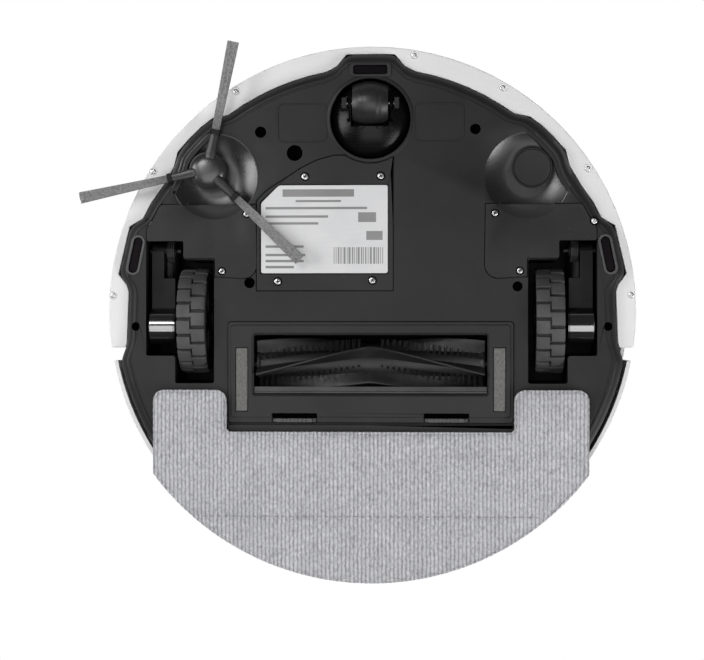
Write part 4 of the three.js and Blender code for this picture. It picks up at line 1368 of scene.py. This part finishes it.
def mop_plate():
    plate = solid_prism(mop_outline(2.5), -4.6, -1.0)
    for _, side in SIDES:
        for half, low, high in ((1.6, -1.2, 2.2), (3.6, 2.0, 3.4)):
            x = RAIL_X * side
            combine(plate, solid_block((x - half, 93, low), (x + half, 128, high)), "UNION")
    shaped("mop_plate", plate, "cover", "mop", "mop_holder", 0.5, 3)


mop_plate()
mop_cloth()
edge_seam()
stitching()


# ---- Casing ----

def bumper_screws():
    places = ((-160.0, -9.2), (-134.9, -86.1), (-83.3, -135.2), (26.7, -156.8), (81.2, -136.5),
              (133.1, -86.7), (159.6, -9.2))
    for i, (x, y) in enumerate(places):
        screw(f"bumper_screw_{i + 1}", (x, y, 5.3), 1.75, "bumper_body", "bumper", 25 * i, "white")


bumper_screws()


# ---- Top panel ----

POWER_Y = -46
HOME_Y = -20  # also the middle of the round panel
BUTTON_TOP = 69.3


def button(name, y):
    """A brushed cap with a dished face, in a thin shadow ring."""
    drops = ((9.1, 0.5), (8.7, 0.12), (8.0, 0.0), (7.0, 0.1), (4.0, 0.22), (0, 0.25))
    profile = [(0, 66.0), (9.1, 66.0)] + [(radius, BUTTON_TOP - drop) for radius, drop in drops]
    node = f"{name}_button"
    turned(f"{name}_cap", profile, (0, y, 0), "steel", BODY_OF[node], node, count=96,
           smooth_angle=50)


def mark(name, outlines):
    """A sign in printed ink on a button, from closed outlines."""
    def build(work):
        for outline in outlines:
            prism(work, outline, BUTTON_TOP - 0.3, BUTTON_TOP - 0.02)
    node = f"{name}_button"
    mesh = bevelled(made(f"{name}_mark", build), 0.05 * MM)
    add_piece(f"{name}_mark", mesh, "ink", BODY_OF[node], (node,))


def power_sign():
    """An open ring with a bar, the general sign for power."""
    ring = arc(3.2, -50, 230, 28, (0, POWER_Y)) + arc(2.5, 230, -50, 28, (0, POWER_Y))
    return [ring, [(-0.35, -50.1), (0.35, -50.1), (0.35, -46.6), (-0.35, -46.6)]]


def home_sign():
    """A plain house outline, in two halves."""
    half = [(2.6, -17.4), (2.6, -20.3), (3.6, -20.3), (0, -23.6), (0, -22.4), (1.9, -20.6),
            (1.9, -18.1), (0, -18.1), (0, -17.4)]
    return [[(-x, y) for x, y in half], half[::-1]]


def top_casing():
    """The white upper casing: a turned shell cut for the bumper, dust box, panel and socket."""
    shoulder = arc(12, 0, 90, 14, (150.5, 56))
    under = arc(9.5, 90, 0, 8, (150.5, 56))
    shell = solid_lathe([(0, 65.5)] + under + [(160, 6.5), (162.5, 6.5)] + shoulder + [(0, 68)],
                        (0, 0, 0), count=256)
    cut(shell, solid_block((-170, -170, 0), (170, 31, 59.2)),
        solid_block((-62.6, 100, 0), (62.6, 170, 52.6)),
        solid_disc((0, HOME_Y), 60.3, 67.1, 69, 160),
        *(solid_disc((0, y), 10.5, 64, 69, 64) for y in (POWER_Y, HOME_Y)))
    socket = solid_rod((-170, -140), 0, 20, 4.2, 48)
    socket.data.transform(Matrix.Rotation(math.radians(-30), 4, "Z"))
    combine(shell, socket)
    mesh = bevelled(taken(shell), 0.3 * MM, 2, 40.0, weighted=True)
    add_piece("top_casing", mesh, "white", "base", ("top_shell",))


def top_panel():
    """The glossy panel with a bevelled rim and holes for its buttons."""
    disc = cut(solid_disc((0, HOME_Y), 60, 67.45, 68.4, 160),
               *(solid_disc((0, y), 9.5, 60, 70, 64) for y in (POWER_Y, HOME_Y)))
    shaped("deck_panel_gloss", disc, "panel", "base", "deck_panel", 0.35, 3)


button("power", POWER_Y)
button("home", HOME_Y)
mark("power", power_sign())
mark("home", home_sign())
top_casing()
top_panel()


# ---- Remaining parts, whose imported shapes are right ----

SOFTENED = {
    "ir_window": "lens", "brush_chamber": "black", "dust_box": "smoke", "dust_box_lid": "cover",
    "dust_box_button": "cover", "wheel_arm_left": "black", "wheel_arm_right": "black",
    "wheel_hub_left": "cover", "wheel_hub_right": "cover", "cliff_lens_front": "lens",
    "cliff_lens_left": "lens", "cliff_lens_right": "lens",
}
AS_PACKED = {
    "battery_pack": "film", "main_board": "board", "hepa_filter": "paper", "fan_impeller": "nylon",
    "brush_bearing": "bronze", "dc_socket": "black", "brush_gearbox": "black",
    "fan_housing": "black",
}
for side_name, _ in SIDES:
    AS_PACKED[f"bumper_switch_{side_name}"] = "black"
    AS_PACKED[f"wheel_motor_{side_name}"] = AS_PACKED[f"suspension_pin_{side_name}"] = "dark_steel"
    AS_PACKED[f"suspension_spring_{side_name}"] = "tyre_dark"
refined("bumper", "white", 0.7, 3)
for node, finish in SOFTENED.items():
    refined(node, finish)
for node, item in frame["nodes"].items():
    if not item.hide_render:
        for entry in item.material_slots:
            entry.material = MATERIALS[AS_PACKED.get(node, "steel")]
